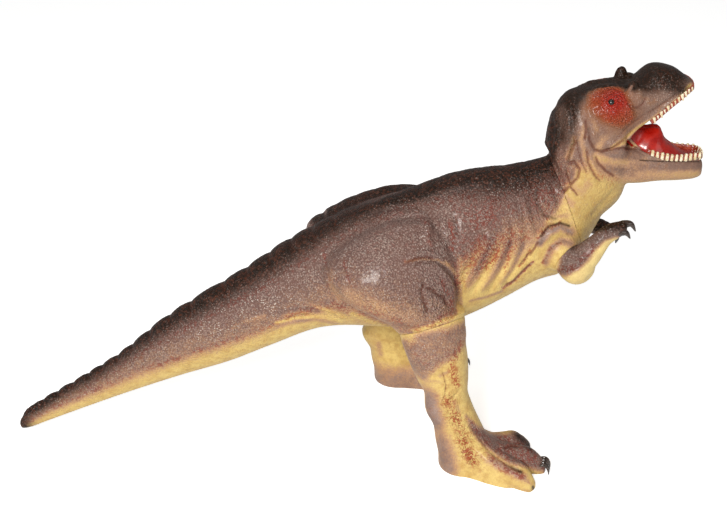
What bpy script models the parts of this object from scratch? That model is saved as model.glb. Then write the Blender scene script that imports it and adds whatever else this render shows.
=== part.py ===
"""Large soft vinyl toy dinosaur, striding, with its mouth open.

The skin is thin moulded vinyl stuffed with fibre. Head, arms and legs are separate
mouldings that plug into the trunk and swivel. Metres, +Z up, nose towards +X, tail
towards -X. The origin lies on the floor under the middle of the figure.
"""
import math

import bmesh
import bpy
from mathutils import Matrix, Vector

# Overall sizes
figure_length = 0.701
hip_height = 0.187
trunk_half_height = 0.0737
trunk_half_width = 0.061

# Vinyl skin and the clearances between pieces
skin_wall = 0.0028
swivel_gap = 0.0008
fit_gap = 0.0004
stuffing_gap = 0.0012
overrun = 0.004

# Where the neck, arms and legs leave the trunk: forward of the middle as a share of the
# figure's length, and up as a share of the hip's height
neck_reach_share = 0.3096
neck_rise_share = 1.340
arm_reach_share = 0.3060
arm_rise_share = 1.112
leg_reach_share = 0.1141

# Neck: the swivel plane and the head that it carries, placed from the neck
neck_half_height = 0.050
neck_half_width = 0.043
neck_lean = 21.7
head_length = 0.114
head_half_height = 0.054
head_half_width = 0.0385
skull_reach = 0.0255
skull_rise = 0.0675
jaw_length = 0.096
jaw_half_height = 0.0205
jaw_half_width = 0.028
jaw_setback = 0.0133
jaw_drop = 0.0289
horn_height = 0.0150
horn_radius = 0.0068
horn_spacing = 0.046
horn_reach = 0.0525
horn_rise = 0.1160
eye_radius = 0.0032
eye_spacing = 0.058
eye_reach = 0.0305
eye_rise = 0.1115
mouth_reach = 0.0505
mouth_rise = 0.0745
mouth_depth = 0.082
mouth_half_width = 0.0205
mouth_half_height = 0.034
lining_thickness = 0.0025
tongue_height = 0.0205

# Legs: the swivel plane under each thigh, and the foot below it
leg_spacing = 0.132
leg_height = 0.150
leg_radius = 0.033
leg_lean_forward = 17.0
leg_lean_outward = 24.0
left_thigh_setback = 0.030
left_foot_setback = 0.025
foot_length = 0.110
foot_splay = 0.0195
toe_radius = 0.0165
thigh_length = 0.101
thigh_half_depth = 0.066
thigh_half_width = 0.039

# Arms: the swivel plane at the shoulder, and the forearm
arm_spacing = 0.086
arm_radius = 0.0165
arm_turn_out = 49.0
arm_turn_down = 23.0
elbow_radius = 0.0180
elbow_reach = 0.0125
forearm_length = 0.047
forearm_radius = 0.0130
forearm_raise = 51.8
forearm_turn_out = 2.8
left_arm_swivel = 52.0

# Swivel plugs, hard plastic, with a washer behind the trunk wall
plug_wall = 0.0018
plug_flange_thickness = 0.0020
plug_lip = 0.0010
plug_lip_length = 0.0014
washer_thickness = 0.0020
neck_plug_radius = 0.0180
leg_plug_radius = 0.0120
arm_plug_radius = 0.0055
plug_flange_ratio = 1.5

# Colours as red, green, blue
mauve = (0.235, 0.135, 0.115)
yellow = (0.640, 0.470, 0.165)
mouth_red = (0.560, 0.020, 0.010)
bead_black = (0.012, 0.011, 0.010)
plug_white = (0.700, 0.690, 0.650)
fibre_white = (0.820, 0.820, 0.800)

ring_sides = 26
leg_sides = 22
small_sides = 14
turned_sides = 24

# How square the forms are across: two is round, more is squarer
round_form = 2.0
leg_form = 2.2
foot_form = 2.3
jaw_form = 2.6
least_share = 0.2
middle_share = 0.5

RIGHT = -1
LEFT = 1
UP = Vector((0, 0, 1))
ACROSS = Vector((0, 1, 0))


# Shares of the named sizes, read along each form
# place along the figure, spine height, half height, half width, lean in degrees
trunk_shares = (
    (0.0010, 0.018, 0.046, 0.060, 4),
    (0.0070, 0.038, 0.090, 0.085, 5),
    (0.0167, 0.069, 0.152, 0.125, 7),
    (0.0405, 0.114, 0.166, 0.164, 14),
    (0.1067, 0.236, 0.223, 0.230, 17),
    (0.1720, 0.360, 0.299, 0.303, 17),
    (0.2400, 0.505, 0.434, 0.410, 18),
    (0.3053, 0.623, 0.532, 0.508, 19.5),
    (0.3675, 0.743, 0.581, 0.590, 20),
    (0.4304, 0.871, 0.654, 0.705, 20.5),
    (0.4785, 0.931, 0.750, 0.820, 18.5),
    (0.5221, 0.967, 0.859, 0.918, 15),
    (0.5708, 0.998, 0.953, 0.984, 13),
    (0.6205, 1.038, 1.000, 1.000, 12),
    (0.6672, 1.105, 0.998, 0.951, 12),
    (0.7098, 1.164, 0.931, 0.902, 13),
    (0.7511, 1.215, 0.837, 0.852, 14),
    (0.7840, 1.246, 0.835, 0.790, 13.5),
)
# forward of the thigh's foot end, down the thigh, inwards, half depth, half width
thigh_shares = (
    (-0.33, 0.000, 0.56, 0.29, 0.20),
    (-0.38, 0.060, 0.51, 0.44, 0.38),
    (-0.45, 0.145, 0.46, 0.645, 0.58),
    (-0.515, 0.240, 0.42, 0.79, 0.74),
    (-0.59, 0.350, 0.37, 0.925, 0.87),
    (-0.65, 0.480, 0.30, 1.00, 0.97),
    (-0.53, 0.683, 0.20, 0.88, 1.00),
    (-0.24, 0.850, 0.10, 0.68, 0.93),
)
# height below the swivel's lowest edge, forward, outward, half depth, half width
leg_shares = (
    (0.988, 0.018, 0.20, 0.955, 0.930),
    (0.849, 0.060, 0.27, 0.894, 0.840),
    (0.707, 0.100, 0.32, 0.788, 0.720),
    (0.586, 0.136, 0.43, 0.667, 0.620),
    (0.447, 0.177, 0.57, 0.706, 0.606),
    (0.324, 0.236, 0.71, 0.758, 0.606),
    (0.201, 0.290, 0.86, 0.818, 0.670),
    (0.085, 0.336, 1.00, 0.879, 0.790),
    (-0.017, 0.336, 1.00, 0.864, 0.830),
)
# the foot behind the toes: forward of the heel, outward, half width, height
foot_shares = (
    (-0.17, 0.00, 0.195, 0.28),
    (0.00, 0.01, 0.255, 0.36),
    (0.16, 0.045, 0.320, 0.31),
    (0.31, 0.060, 0.370, 0.200),
    (0.42, 0.065, 0.345, 0.130),
)
# along the toe, half width, half height, height of the middle
toe_shares = (
    (0.00, 1.00, 1.05, 0.70),
    (0.30, 0.92, 0.95, 0.62),
    (0.55, 0.80, 0.86, 0.62),
    (0.72, 0.74, 0.84, 0.60),
    (0.86, 0.56, 0.60, 0.38),
    (1.00, 0.12, 0.16, 0.05),
)
# each toe: forward and sideways, then its root forward and sideways of the heel, as shares
# of the foot length
toe_reach_shares = ((0.51, -0.47, 0.055, -0.03), (0.65, -0.20, 0.085, 0.00), (0.615, 0.16, 0.030, 0.02))
# how far down the leg it keeps sloping back, on the side that is set back
shank_share = 0.50
# forward, up, half height, half width, lean in degrees, squareness
neck_shares = (
    (-0.162, -0.815, 0.874, 1.04, 40, 2.0),
    (-0.079, -0.444, 0.996, 1.00, 43, 2.1),
    (0.000, 0.000, 0.990, 0.96, 39, 2.1),
    (0.070, 0.222, 0.825, 0.94, 33, 2.3),
    (0.154, 0.531, 0.480, 0.92, 20, 2.7),
    (0.316, 0.667, 0.376, 0.76, 12, 2.7),
    (0.460, 0.889, 0.431, 0.64, 9, 2.5),
    (0.618, 0.963, 0.319, 0.56, 8, 2.4),
    (0.724, 0.944, 0.185, 0.43, 6, 2.3),
    (0.789, 0.926, 0.100, 0.24, 0, 2.0),
)
jaw_shares = (
    (0.000, 0.00, 0.98, 0.960),
    (0.160, -0.13, 1.00, 1.000),
    (0.340, -0.25, 0.90, 0.946),
    (0.526, -0.32, 0.76, 0.857),
    (0.734, -0.40, 0.71, 0.714),
    (0.911, -0.47, 0.63, 0.518),
    (1.000, -0.59, 0.41, 0.286),
)
# the mouth's two lines from its corner, forward and up
palate_shares = ((0.10, 0.26), (0.32, 0.53), (0.49, 0.88), (0.63, 1.15), (1.35, 2.20))
floor_shares = ((0.15, -0.38), (0.32, -0.53), (0.62, -0.68), (1.35, -0.82))
# the lining: forward, up, half width, crown of the tongue
lining_shares = (
    (0.60, 1.09, 0.62, 0.02),
    (0.49, 0.88, 0.72, 0.02),
    (0.32, 0.53, 0.86, 0.03),
    (0.10, 0.26, 0.96, 0.03),
    (0.00, 0.00, 1.00, 0.12),
    (0.15, -0.38, 0.98, 0.52),
    (0.29, -0.52, 0.92, 0.88),
    (0.40, -0.57, 0.87, 1.00),
    (0.52, -0.625, 0.81, 0.86),
    (0.62, -0.68, 0.75, 0.50),
    (0.80, -0.72, 0.60, 0.18),
)
# across the lining, height of the tongue
tongue_shares = ((-1.0, 0.0), (-0.72, 0.20), (-0.48, 0.86), (0.0, 1.0), (0.48, 0.86), (0.72, 0.20), (1.0, 0.0))
# the arm from its elbow: along the forearm, towards the palm, half size
forearm_shares = (
    (0.00, 0.00, 0.60),
    (0.22, 0.00, 0.95),
    (0.42, 0.00, 0.94),
    (0.62, 0.00, 0.80),
    (0.83, 0.00, 0.69),
    (1.04, 0.05, 0.65),
    (1.20, 0.14, 0.52),
    (1.28, 0.22, 0.30),
)
# each claw: along the forearm, towards the palm, sideways, half size
claw_shares = (
    ((1.16, 0.08, 0.06, 0.36), (1.28, 0.15, 0.07, 0.33), (1.38, 0.27, 0.07, 0.22), (1.32, 0.45, 0.07, 0.05)),
    ((1.02, 0.04, -0.06, 0.36), (1.12, 0.12, -0.08, 0.33), (1.20, 0.25, -0.08, 0.22), (1.16, 0.40, -0.08, 0.05)),
)
# the elbow's rounded end: along the joint axis, half size
elbow_shares = ((-0.2, 1.0), (0.3, 0.97), (0.7, 0.74), (0.93, 0.38))
arm_hollow_share = 0.5
arm_hollow_taper = 0.7
# a horn: up, half width, half depth
horn_shares = ((-0.5, 0.75, 1.0), (0.55, 0.68, 0.8), (1.0, 0.3, 0.3))


# Making meshes
def new_object(name, mesh_edit, material=None, smooth=True):
    mesh = bpy.data.meshes.new(name)
    bmesh.ops.recalc_face_normals(mesh_edit, faces=mesh_edit.faces)
    mesh_edit.to_mesh(mesh)
    mesh_edit.free()
    if smooth:
        mesh.shade_smooth()
        mesh.set_sharp_from_angle(angle=math.radians(40))
    made = bpy.data.objects.new(name, mesh)
    bpy.context.scene.collection.objects.link(made)
    if material:
        mesh.materials.append(material)
    return made


def as_tool(made):
    made.hide_render = True
    made.display_type = "WIRE"
    return made


def ring_points(centre, side, up, squareness, count):
    points = []
    for step in range(count):
        angle = math.tau * (step + 0.5) / count
        c, s = math.cos(angle), math.sin(angle)
        c = math.copysign(abs(c) ** (2 / squareness), c)
        s = math.copysign(abs(s) ** (2 / squareness), s)
        points.append(centre + side * c + up * s)
    return points


def skin_over(name, rings, count, material=None):
    """A closed skin over rings of (centre, side, up, squareness), flat at both ends."""
    mesh_edit = bmesh.new()
    loops = [[mesh_edit.verts.new(p) for p in ring_points(*r, count)] for r in rings]
    for low, high in zip(loops, loops[1:]):
        for i in range(count):
            j = (i + 1) % count
            mesh_edit.faces.new((low[i], low[j], high[j], high[i]))
    mesh_edit.faces.new(loops[0][::-1])
    mesh_edit.faces.new(loops[-1])
    return new_object(name, mesh_edit, material)


def turned(name, profile, centre, axis, material):
    """A ring turned about an axis, from a closed profile of (place along the axis, radius)."""
    side, up = square_to(axis)
    mesh_edit = bmesh.new()
    loops = []
    for step in range(turned_sides):
        angle = math.tau * step / turned_sides
        out = side * math.cos(angle) + up * math.sin(angle)
        loops.append([mesh_edit.verts.new(centre + axis * t + out * r) for t, r in profile])
    for near, far in zip(loops, loops[1:] + loops[:1]):
        for i in range(len(profile)):
            j = (i + 1) % len(profile)
            mesh_edit.faces.new((near[i], near[j], far[j], far[i]))
    return new_object(name, mesh_edit, material)


def square_to(axis):
    """Two unit vectors at right angles to an axis and to each other."""
    side = axis.cross(UP).normalized() if abs(axis.dot(UP)) < 0.9 else axis.cross(ACROSS).normalized()
    return side, side.cross(axis).normalized()


def rod(name, centre, axis, start, end, radius, count=turned_sides):
    side, up = square_to(axis)
    rings = [(centre + axis * t, side * radius, up * radius, round_form) for t in (start, end)]
    return skin_over(name, rings, count)


def ball(name, centre, radius, count, material=None):
    mesh_edit = bmesh.new()
    bmesh.ops.create_uvsphere(mesh_edit, u_segments=count, v_segments=count // 2 + 1, radius=radius)
    bmesh.ops.translate(mesh_edit, verts=mesh_edit.verts, vec=centre)
    return new_object(name, mesh_edit, material)


def prism(name, outline, half_width):
    """An outline in the XZ plane, as far to the left as to the right."""
    mesh_edit = bmesh.new()
    near = [mesh_edit.verts.new((x, -half_width, z)) for x, z in outline]
    far = [mesh_edit.verts.new((x, half_width, z)) for x, z in outline]
    mesh_edit.faces.new(near)
    mesh_edit.faces.new(far[::-1])
    for i in range(len(outline)):
        j = (i + 1) % len(outline)
        mesh_edit.faces.new((near[i], far[i], far[j], near[j]))
    return new_object(name, mesh_edit, smooth=False)


def change(made, tool, operation):
    modifier = made.modifiers.new(f"{operation.lower()}_{tool.name}", "BOOLEAN")
    modifier.operation = operation
    modifier.solver = "EXACT"
    modifier.object = tool


def join(made, *tools):
    for tool in tools:
        change(made, as_tool(tool), "UNION")


def cut(made, *tools):
    for tool in tools:
        change(made, as_tool(tool), "DIFFERENCE")


def paint(name, colour, roughness, metallic=0.0):
    material = bpy.data.materials.new(name)
    material.use_nodes = True
    shader = material.node_tree.nodes["Principled BSDF"]
    shader.inputs["Base Color"].default_value = (*colour, 1.0)
    shader.inputs["Roughness"].default_value = roughness
    shader.inputs["Metallic"].default_value = metallic
    return material


def smoothed(rows, steps):
    """Rows of numbers with steps rows for each one given, on a smooth curve through them."""
    out = []
    for i in range(len(rows) - 1):
        a = rows[max(i - 1, 0)]
        b, c = rows[i], rows[i + 1]
        d = rows[min(i + 2, len(rows) - 1)]
        for step in range(steps):
            t = step / steps
            out.append(tuple(
                0.5 * (2 * q + (r - p) * t + (2 * p - 5 * q + 4 * r - s) * t * t
                       + (3 * q - p - 3 * r + s) * t ** 3)
                for p, q, r, s in zip(a, b, c, d)
            ))
    out.append(tuple(rows[-1]))
    return out


def leaning(centre, half_width, half_height, lean, squareness=round_form):
    """A ring across the figure whose top leans back by an angle in degrees."""
    angle = math.radians(lean)
    up = Vector((-math.sin(angle), 0, math.cos(angle)))
    return centre, ACROSS * half_width, up * half_height, squareness


def thinner(rings, wall):
    """The same rings drawn in by a wall."""
    out = []
    for centre, side, up, squareness in rings:
        inner_side = side * max(least_share, 1 - wall / side.length)
        inner_up = up * max(least_share, 1 - wall / up.length)
        out.append((centre, inner_side, inner_up, squareness))
    return out


# Swivel planes: a point on the trunk's side, and the axis towards the limb
def neck_joint():
    angle = math.radians(neck_lean)
    place = Vector((neck_reach_share * figure_length, 0, neck_rise_share * hip_height))
    return place, Vector((math.cos(angle), 0, math.sin(angle)))


def on_head(reach, rise, across=0.0):
    """A place on the head, forward and up from the middle of the neck swivel."""
    return neck_joint()[0] + Vector((reach, across, rise))


def leg_joint(hand):
    forward = math.tan(math.radians(leg_lean_forward))
    outward = math.tan(math.radians(leg_lean_outward))
    setback = left_thigh_setback if hand == LEFT else 0
    centre = Vector((leg_reach_share * figure_length - setback, hand * leg_spacing / 2, leg_height))
    return centre, Vector((forward, hand * outward, -1)).normalized()


def arm_joint(hand):
    out, down = math.radians(arm_turn_out), math.radians(arm_turn_down)
    level = math.cos(down)
    axis = Vector((level * math.cos(out), hand * level * math.sin(out), -math.sin(down)))
    place = Vector((arm_reach_share * figure_length, hand * arm_spacing / 2, arm_rise_share * hip_height))
    return place, axis


def swivel_plug(name, washer_name, joint, radius, material):
    """The plug that a limb turns on, and the washer that holds it behind the trunk wall."""
    centre, axis = joint
    half_gap = swivel_gap / 2
    flange_from = half_gap + skin_wall + fit_gap
    flange_to = flange_from + plug_flange_thickness
    washer_from = -(half_gap + skin_wall + fit_gap)
    washer_to = washer_from - washer_thickness
    lip_from = washer_to - fit_gap
    lip_to = lip_from - plug_lip_length
    flange_radius = radius * plug_flange_ratio
    plug = turned(name, (
        (lip_to, radius - plug_wall),
        (flange_to, radius - plug_wall),
        (flange_to, flange_radius),
        (flange_from, flange_radius),
        (flange_from, radius),
        (lip_from, radius),
        (lip_from, radius + plug_lip),
        (lip_to, radius),
    ), centre, axis, material)
    bore = radius + fit_gap
    washer = turned(washer_name, (
        (washer_to, bore),
        (washer_from, bore),
        (washer_from, flange_radius),
        (washer_to, flange_radius),
    ), centre, axis, material)
    return plug, washer


def plug_hole(name, joint, radius):
    """The hole for a plug through both walls at a swivel."""
    centre, axis = joint
    reach = swivel_gap / 2 + skin_wall + overrun
    return rod(name, centre, axis, -reach, reach, radius + fit_gap)


# Trunk and tail
def trunk_rings(steps):
    rings = []
    for along, height, tall, wide, lean in smoothed(trunk_shares, steps):
        centre = Vector(((along - middle_share) * figure_length, 0, height * hip_height))
        rings.append(leaning(centre, wide * trunk_half_width, tall * trunk_half_height, lean))
    tip_centre, tip_side, tip_up, tip_squareness = rings[0]
    tip_centre.z = tip_up.z
    return rings


def neck_ring(offset, inset=0.0):
    centre, axis = neck_joint()
    return leaning(centre + axis * offset, neck_half_width - inset, neck_half_height - inset, neck_lean)


def thigh_rings(hand):
    centre, axis = leg_joint(hand)
    rings = []
    for forward, down, inward, deep, wide in thigh_shares:
        setback = (1 - down) * (left_thigh_setback if hand == LEFT else 0)
        place = Vector((
            centre.x + setback + forward * thigh_half_depth,
            centre.y - hand * inward * thigh_half_width,
            centre.z + (1 - down) * thigh_length,
        ))
        rings.append((place, Vector((deep * thigh_half_depth, 0, 0)), ACROSS * wide * thigh_half_width, round_form))
    rings.append(leg_ring(hand, overrun / 2, leg_radius + skin_wall / 2))
    return rings


def leg_ring(hand, offset, radius):
    """A round ring in a leg's swivel plane, or a little along its axis."""
    centre, axis = leg_joint(hand)
    side = (Vector((1, 0, 0)) - axis * axis.x).normalized()
    up = (ACROSS - axis * axis.y)
    up = (up - side * side.dot(up)).normalized()
    return centre + axis * offset, side * radius, up * radius, round_form


def shoulder_bulge(hand, shrink):
    centre, axis = arm_joint(hand)
    return ball(f"shoulder_form_{hand}_{shrink:.4f}", centre - axis * elbow_reach, elbow_radius + skin_wall - shrink, small_sides)


def make_trunk(vinyl):
    rings = trunk_rings(2)
    front = [neck_ring(-swivel_gap / 2)]
    trunk = skin_over("trunk_shell", rings + front, ring_sides, vinyl)
    hollow = skin_over("trunk_hollow", thinner(trunk_rings(1)[3:], skin_wall) + [neck_ring(-swivel_gap / 2 - skin_wall, skin_wall)], ring_sides - 4)
    for hand in (RIGHT, LEFT):
        join(trunk, skin_over(f"thigh_form_{hand}", thigh_rings(hand), leg_sides))
        thigh_hollow = thinner(thigh_rings(hand)[1:-1], skin_wall)
        thigh_hollow.append(leg_ring(hand, 0, leg_radius - skin_wall))
        join(hollow, skin_over(f"thigh_hollow_{hand}", thigh_hollow, leg_sides - 4))
        join(trunk, shoulder_bulge(hand, 0))
        join(hollow, shoulder_bulge(hand, skin_wall))
    for hand in (RIGHT, LEFT):
        seat, axis = leg_joint(hand)
        start = -swivel_gap / 2
        reach = leg_radius + skin_wall
        cut(trunk, rod(f"leg_seat_{hand}", seat, axis, start, reach, leg_radius + skin_wall, leg_sides))
        cut(hollow, rod(f"leg_seat_wall_{hand}", seat, axis, start - skin_wall, reach, leg_radius + 2 * skin_wall, leg_sides))
        seat, axis = arm_joint(hand)
        reach = arm_radius * 2
        cut(trunk, rod(f"arm_seat_{hand}", seat, axis, start, reach, arm_radius + 2 * fit_gap, leg_sides))
        cut(hollow, rod(f"arm_seat_wall_{hand}", seat, axis, start - skin_wall, reach, arm_radius + skin_wall, leg_sides))
    cut(trunk, hollow)
    cut(trunk, plug_hole("neck_hole_trunk", neck_joint(), neck_plug_radius))
    for hand in (RIGHT, LEFT):
        cut(trunk, plug_hole(f"leg_hole_trunk_{hand}", leg_joint(hand), leg_plug_radius))
        cut(trunk, plug_hole(f"arm_hole_trunk_{hand}", arm_joint(hand), arm_plug_radius))
    return trunk


# Head
def head_rings():
    rings = []
    for forward, up, tall, wide, lean, squareness in neck_shares:
        centre = on_head(skull_reach + forward * head_length, skull_rise + up * head_half_height)
        rings.append(leaning(centre, wide * head_half_width, tall * head_half_height, lean, squareness))
    return rings


def jaw_rings():
    rings = []
    root = on_head(mouth_reach - jaw_setback, mouth_rise - jaw_drop)
    for forward, up, tall, wide in jaw_shares:
        centre = root + Vector((forward * jaw_length, 0, up * jaw_half_height))
        rings.append(leaning(centre, wide * jaw_half_width, tall * jaw_half_height, 0, jaw_form))
    return rings


def mouth_point(forward, up):
    place = on_head(mouth_reach + forward * mouth_depth, mouth_rise + up * mouth_half_height)
    return place.x, place.z


def mouth_wedge(name, grow):
    """The open space between the jaws. Grown, it keeps the hollow of the head clear of it."""
    upper = [mouth_point(*share) for share in palate_shares]
    lower = [mouth_point(*share) for share in floor_shares]
    corner = mouth_point(0, 0)
    outline = [(corner[0] - grow, corner[1])]
    outline += [(x, z - grow) for x, z in lower]
    outline += [(x, z + grow) for x, z in reversed(upper)]
    return prism(name, outline, head_half_width + overrun)


def mouth_lining(name, gap, material=None):
    """The red lining with its tongue, bent round the corner of the mouth."""
    places = [Vector((x, 0, z)) for x, z in (mouth_point(f, u) for f, u, w, c in lining_shares)]
    mesh_edit = bmesh.new()
    loops = []
    for i, (forward, up, wide, crown) in enumerate(lining_shares):
        before, after = places[max(i - 1, 0)], places[min(i + 1, len(places) - 1)]
        along = (after - before).normalized()
        into = Vector((along.z, 0, -along.x))
        half = wide * mouth_half_width + gap
        end = 0
        if i == 0:
            end = -gap
        if i == len(places) - 1:
            end = gap
        base = places[i] + along * end
        back = base - into * (-lining_thickness - gap)
        rise = crown * tongue_height
        loop = [back + ACROSS * half, back - ACROSS * half]
        loop += [base - into * (rise * high) + ACROSS * half * out for out, high in tongue_shares]
        loops.append([mesh_edit.verts.new(p) for p in loop])
    count = len(loops[0])
    for near, far in zip(loops, loops[1:]):
        for k in range(count):
            m = (k + 1) % count
            mesh_edit.faces.new((near[k], near[m], far[m], far[k]))
    mesh_edit.faces.new(loops[0][::-1])
    mesh_edit.faces.new(loops[-1])
    return new_object(name, mesh_edit, material)


def make_head(vinyl, lining_paint, bead):
    start = [neck_ring(swivel_gap / 2)]
    head = skin_over("head_shell", start + head_rings(), ring_sides, vinyl)
    join(head, skin_over("jaw_form", jaw_rings(), leg_sides))
    for hand in (RIGHT, LEFT):
        foot = on_head(horn_reach, horn_rise, hand * horn_spacing / 2)
        rings = [(foot + UP * horn_height * rise, Vector((horn_radius * deep, 0, 0)), ACROSS * horn_radius * wide, round_form)
                 for rise, wide, deep in horn_shares]
        join(head, skin_over(f"horn_form_{hand}", rings, small_sides))
    cut(head, mouth_wedge("mouth_space", 0))
    hollow_rings = [neck_ring(swivel_gap / 2 + skin_wall, skin_wall)] + thinner(head_rings()[:6], skin_wall)
    hollow = skin_over("head_hollow", hollow_rings, leg_sides)
    cut(hollow, mouth_wedge("mouth_wall", skin_wall + 2 * lining_thickness))
    cut(head, hollow)
    cut(head, mouth_lining("lining_seat", fit_gap))
    cut(head, plug_hole("neck_hole_head", neck_joint(), neck_plug_radius))
    mouth_lining("mouth_lining", 0, lining_paint)
    for hand, name in ((RIGHT, "right_eye"), (LEFT, "left_eye")):
        place = on_head(eye_reach, eye_rise, hand * eye_spacing / 2)
        cut(head, ball(f"eye_seat_{hand}", place, eye_radius + fit_gap, small_sides))
        ball(name, place, eye_radius, small_sides, bead)
    return head


# Legs
def leg_rings(hand):
    """Rings from the swivel plane to the floor, all below the swivel's lowest edge."""
    centre, axis = leg_joint(hand)
    top = leg_height - leg_radius * math.sqrt(1 - axis.z ** 2)
    rings = [leg_ring(hand, swivel_gap / 2, leg_radius)]
    for height, forward, outward, deep, wide in leg_shares:
        lower = min(1, (leg_shares[0][0] - height) / shank_share)
        setback = lower * (left_foot_setback if hand == LEFT else 0)
        place = Vector((
            centre.x + forward * foot_length - setback,
            centre.y + hand * outward * foot_splay,
            height * top,
        ))
        rings.append((place, Vector((deep * leg_radius, 0, 0)), ACROSS * wide * leg_radius, leg_form))
    return rings


def heel_place(hand):
    """The floor under the middle of the heel."""
    heel = leg_rings(hand)[-1][0]
    return Vector((heel.x, heel.y, 0))


def foot_rings(hand):
    rings = []
    for forward, outward, wide, high in foot_shares:
        place = heel_place(hand) + Vector((forward, hand * outward, 0)) * foot_length
        rings.append((place, ACROSS * wide * foot_length, UP * high * foot_length, foot_form))
    return rings


def toe_rings(hand, reach):
    forward, inward, root_forward, root_inward = reach
    root = heel_place(hand) + Vector((root_forward, -hand * root_inward, 0)) * foot_length
    run = Vector((forward, -hand * inward, 0)) * foot_length
    side = UP.cross(run).normalized()
    rings = []
    for along, wide, tall, middle in toe_shares:
        place = root + run * along + UP * middle * toe_radius
        rings.append((place, side * wide * toe_radius, UP * tall * toe_radius, leg_form))
    return rings


def make_leg(hand, name, vinyl):
    leg = skin_over(name, leg_rings(hand), leg_sides, vinyl)
    join(leg, skin_over(f"foot_form_{hand}", foot_rings(hand), leg_sides))
    for i, reach in enumerate(toe_reach_shares):
        join(leg, skin_over(f"toe_form_{hand}_{i}", toe_rings(hand, reach), small_sides))
    floor = prism(f"floor_{hand}", (
        (-figure_length, -leg_height), (figure_length, -leg_height), (figure_length, 0), (-figure_length, 0),
    ), figure_length)
    cut(leg, floor)
    rings = thinner(leg_rings(hand)[1:7], skin_wall)
    top = leg_ring(hand, swivel_gap / 2 + skin_wall, leg_radius - skin_wall)
    hollow = skin_over(f"leg_hollow_{hand}", [top] + rings, leg_sides - 4)
    join(hollow, plug_hole(f"leg_hole_{hand}", leg_joint(hand), leg_plug_radius))
    cut(leg, hollow)
    return leg


# Arms
def arm_frame(hand):
    """Elbow, the forearm's direction, the palm's side and the direction across the hand."""
    centre, axis = arm_joint(hand)
    rise, out = math.radians(forearm_raise), math.radians(forearm_turn_out)
    run = Vector((math.cos(rise) * math.cos(out), hand * math.cos(rise) * math.sin(out), math.sin(rise)))
    palm = (run * run.z - UP).normalized()
    across = ACROSS * -hand
    turn = Matrix.Rotation(math.radians(left_arm_swivel if hand == LEFT else 0), 3, axis)
    return centre + axis * elbow_reach, turn @ run, turn @ palm, turn @ across


def arm_skin(name, hand, shares):
    """A skin from the elbow towards the hand, over rings square to their own path."""
    elbow, run, palm, across = arm_frame(hand)
    places = [elbow + (run * row[0] + palm * row[1]) * forearm_length for row in shares]
    if len(shares[0]) == 4:
        places = [p + across * row[2] * forearm_length for p, row in zip(places, shares)]
    rings = []
    for i, row in enumerate(shares):
        way = (places[min(i + 1, len(places) - 1)] - places[max(i - 1, 0)]).normalized()
        side, up = square_to(way)
        half = row[-1] * forearm_radius
        rings.append((places[i], side * half, up * half, leg_form))
    return skin_over(name, rings, small_sides)


def make_arm(hand, name, vinyl):
    centre, axis = arm_joint(hand)
    elbow = centre + axis * elbow_reach
    side, up = square_to(axis)
    rings = [(centre + axis * swivel_gap / 2, side * arm_radius, up * arm_radius, round_form)]
    rings += [(elbow + axis * elbow_radius * along, side * elbow_radius * half, up * elbow_radius * half, round_form)
              for along, half in elbow_shares]
    arm = skin_over(name, rings, leg_sides, vinyl)
    join(arm, arm_skin(f"forearm_form_{hand}", hand, forearm_shares))
    for i, shares in enumerate(claw_shares):
        join(arm, arm_skin(f"claw_form_{hand}_{i}", hand, shares))
    reach = arm_radius - skin_wall
    inner = [(centre + axis * (swivel_gap / 2 + skin_wall), reach),
             (elbow + axis * elbow_radius * arm_hollow_share, reach * arm_hollow_taper)]
    hollow_rings = [(place, side * half, up * half, round_form) for place, half in inner]
    hollow = skin_over(f"arm_hollow_{hand}", hollow_rings, small_sides)
    join(hollow, plug_hole(f"arm_hole_{hand}", arm_joint(hand), arm_plug_radius))
    cut(arm, hollow)
    return arm


# Fibre stuffing
def make_stuffing(fibre):
    inset = skin_wall + stuffing_gap
    rings = thinner(trunk_rings(1)[3:-2], inset + plug_lip)
    trunk = skin_over("trunk_stuffing", rings, leg_sides, fibre)
    depth = skin_wall + washer_thickness + plug_lip_length + 4 * stuffing_gap
    for hand in (RIGHT, LEFT):
        for joint, radius, word in ((leg_joint(hand), leg_radius, "leg"), (arm_joint(hand), arm_radius, "arm")):
            clear = radius + 2 * skin_wall + stuffing_gap
            cut(trunk, rod(f"{word}_clearance_{hand}", *joint, -depth, 2 * radius, clear, leg_sides))
    for hand, name in ((RIGHT, "right_leg_stuffing"), (LEFT, "left_leg_stuffing")):
        rings = thinner(leg_rings(hand)[2:7], inset)
        skin_over(name, rings, small_sides, fibre)
    head = skin_over("head_stuffing", thinner(head_rings()[1:4], inset), leg_sides, fibre)
    return trunk, head


def set_pivot(made, place):
    """Put an object's own origin on a joint, with its shape left where it is."""
    made.data.transform(Matrix.Translation(-place))
    made.location = place


def clear_scene():
    for old in list(bpy.data.objects):
        bpy.data.objects.remove(old)


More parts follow.
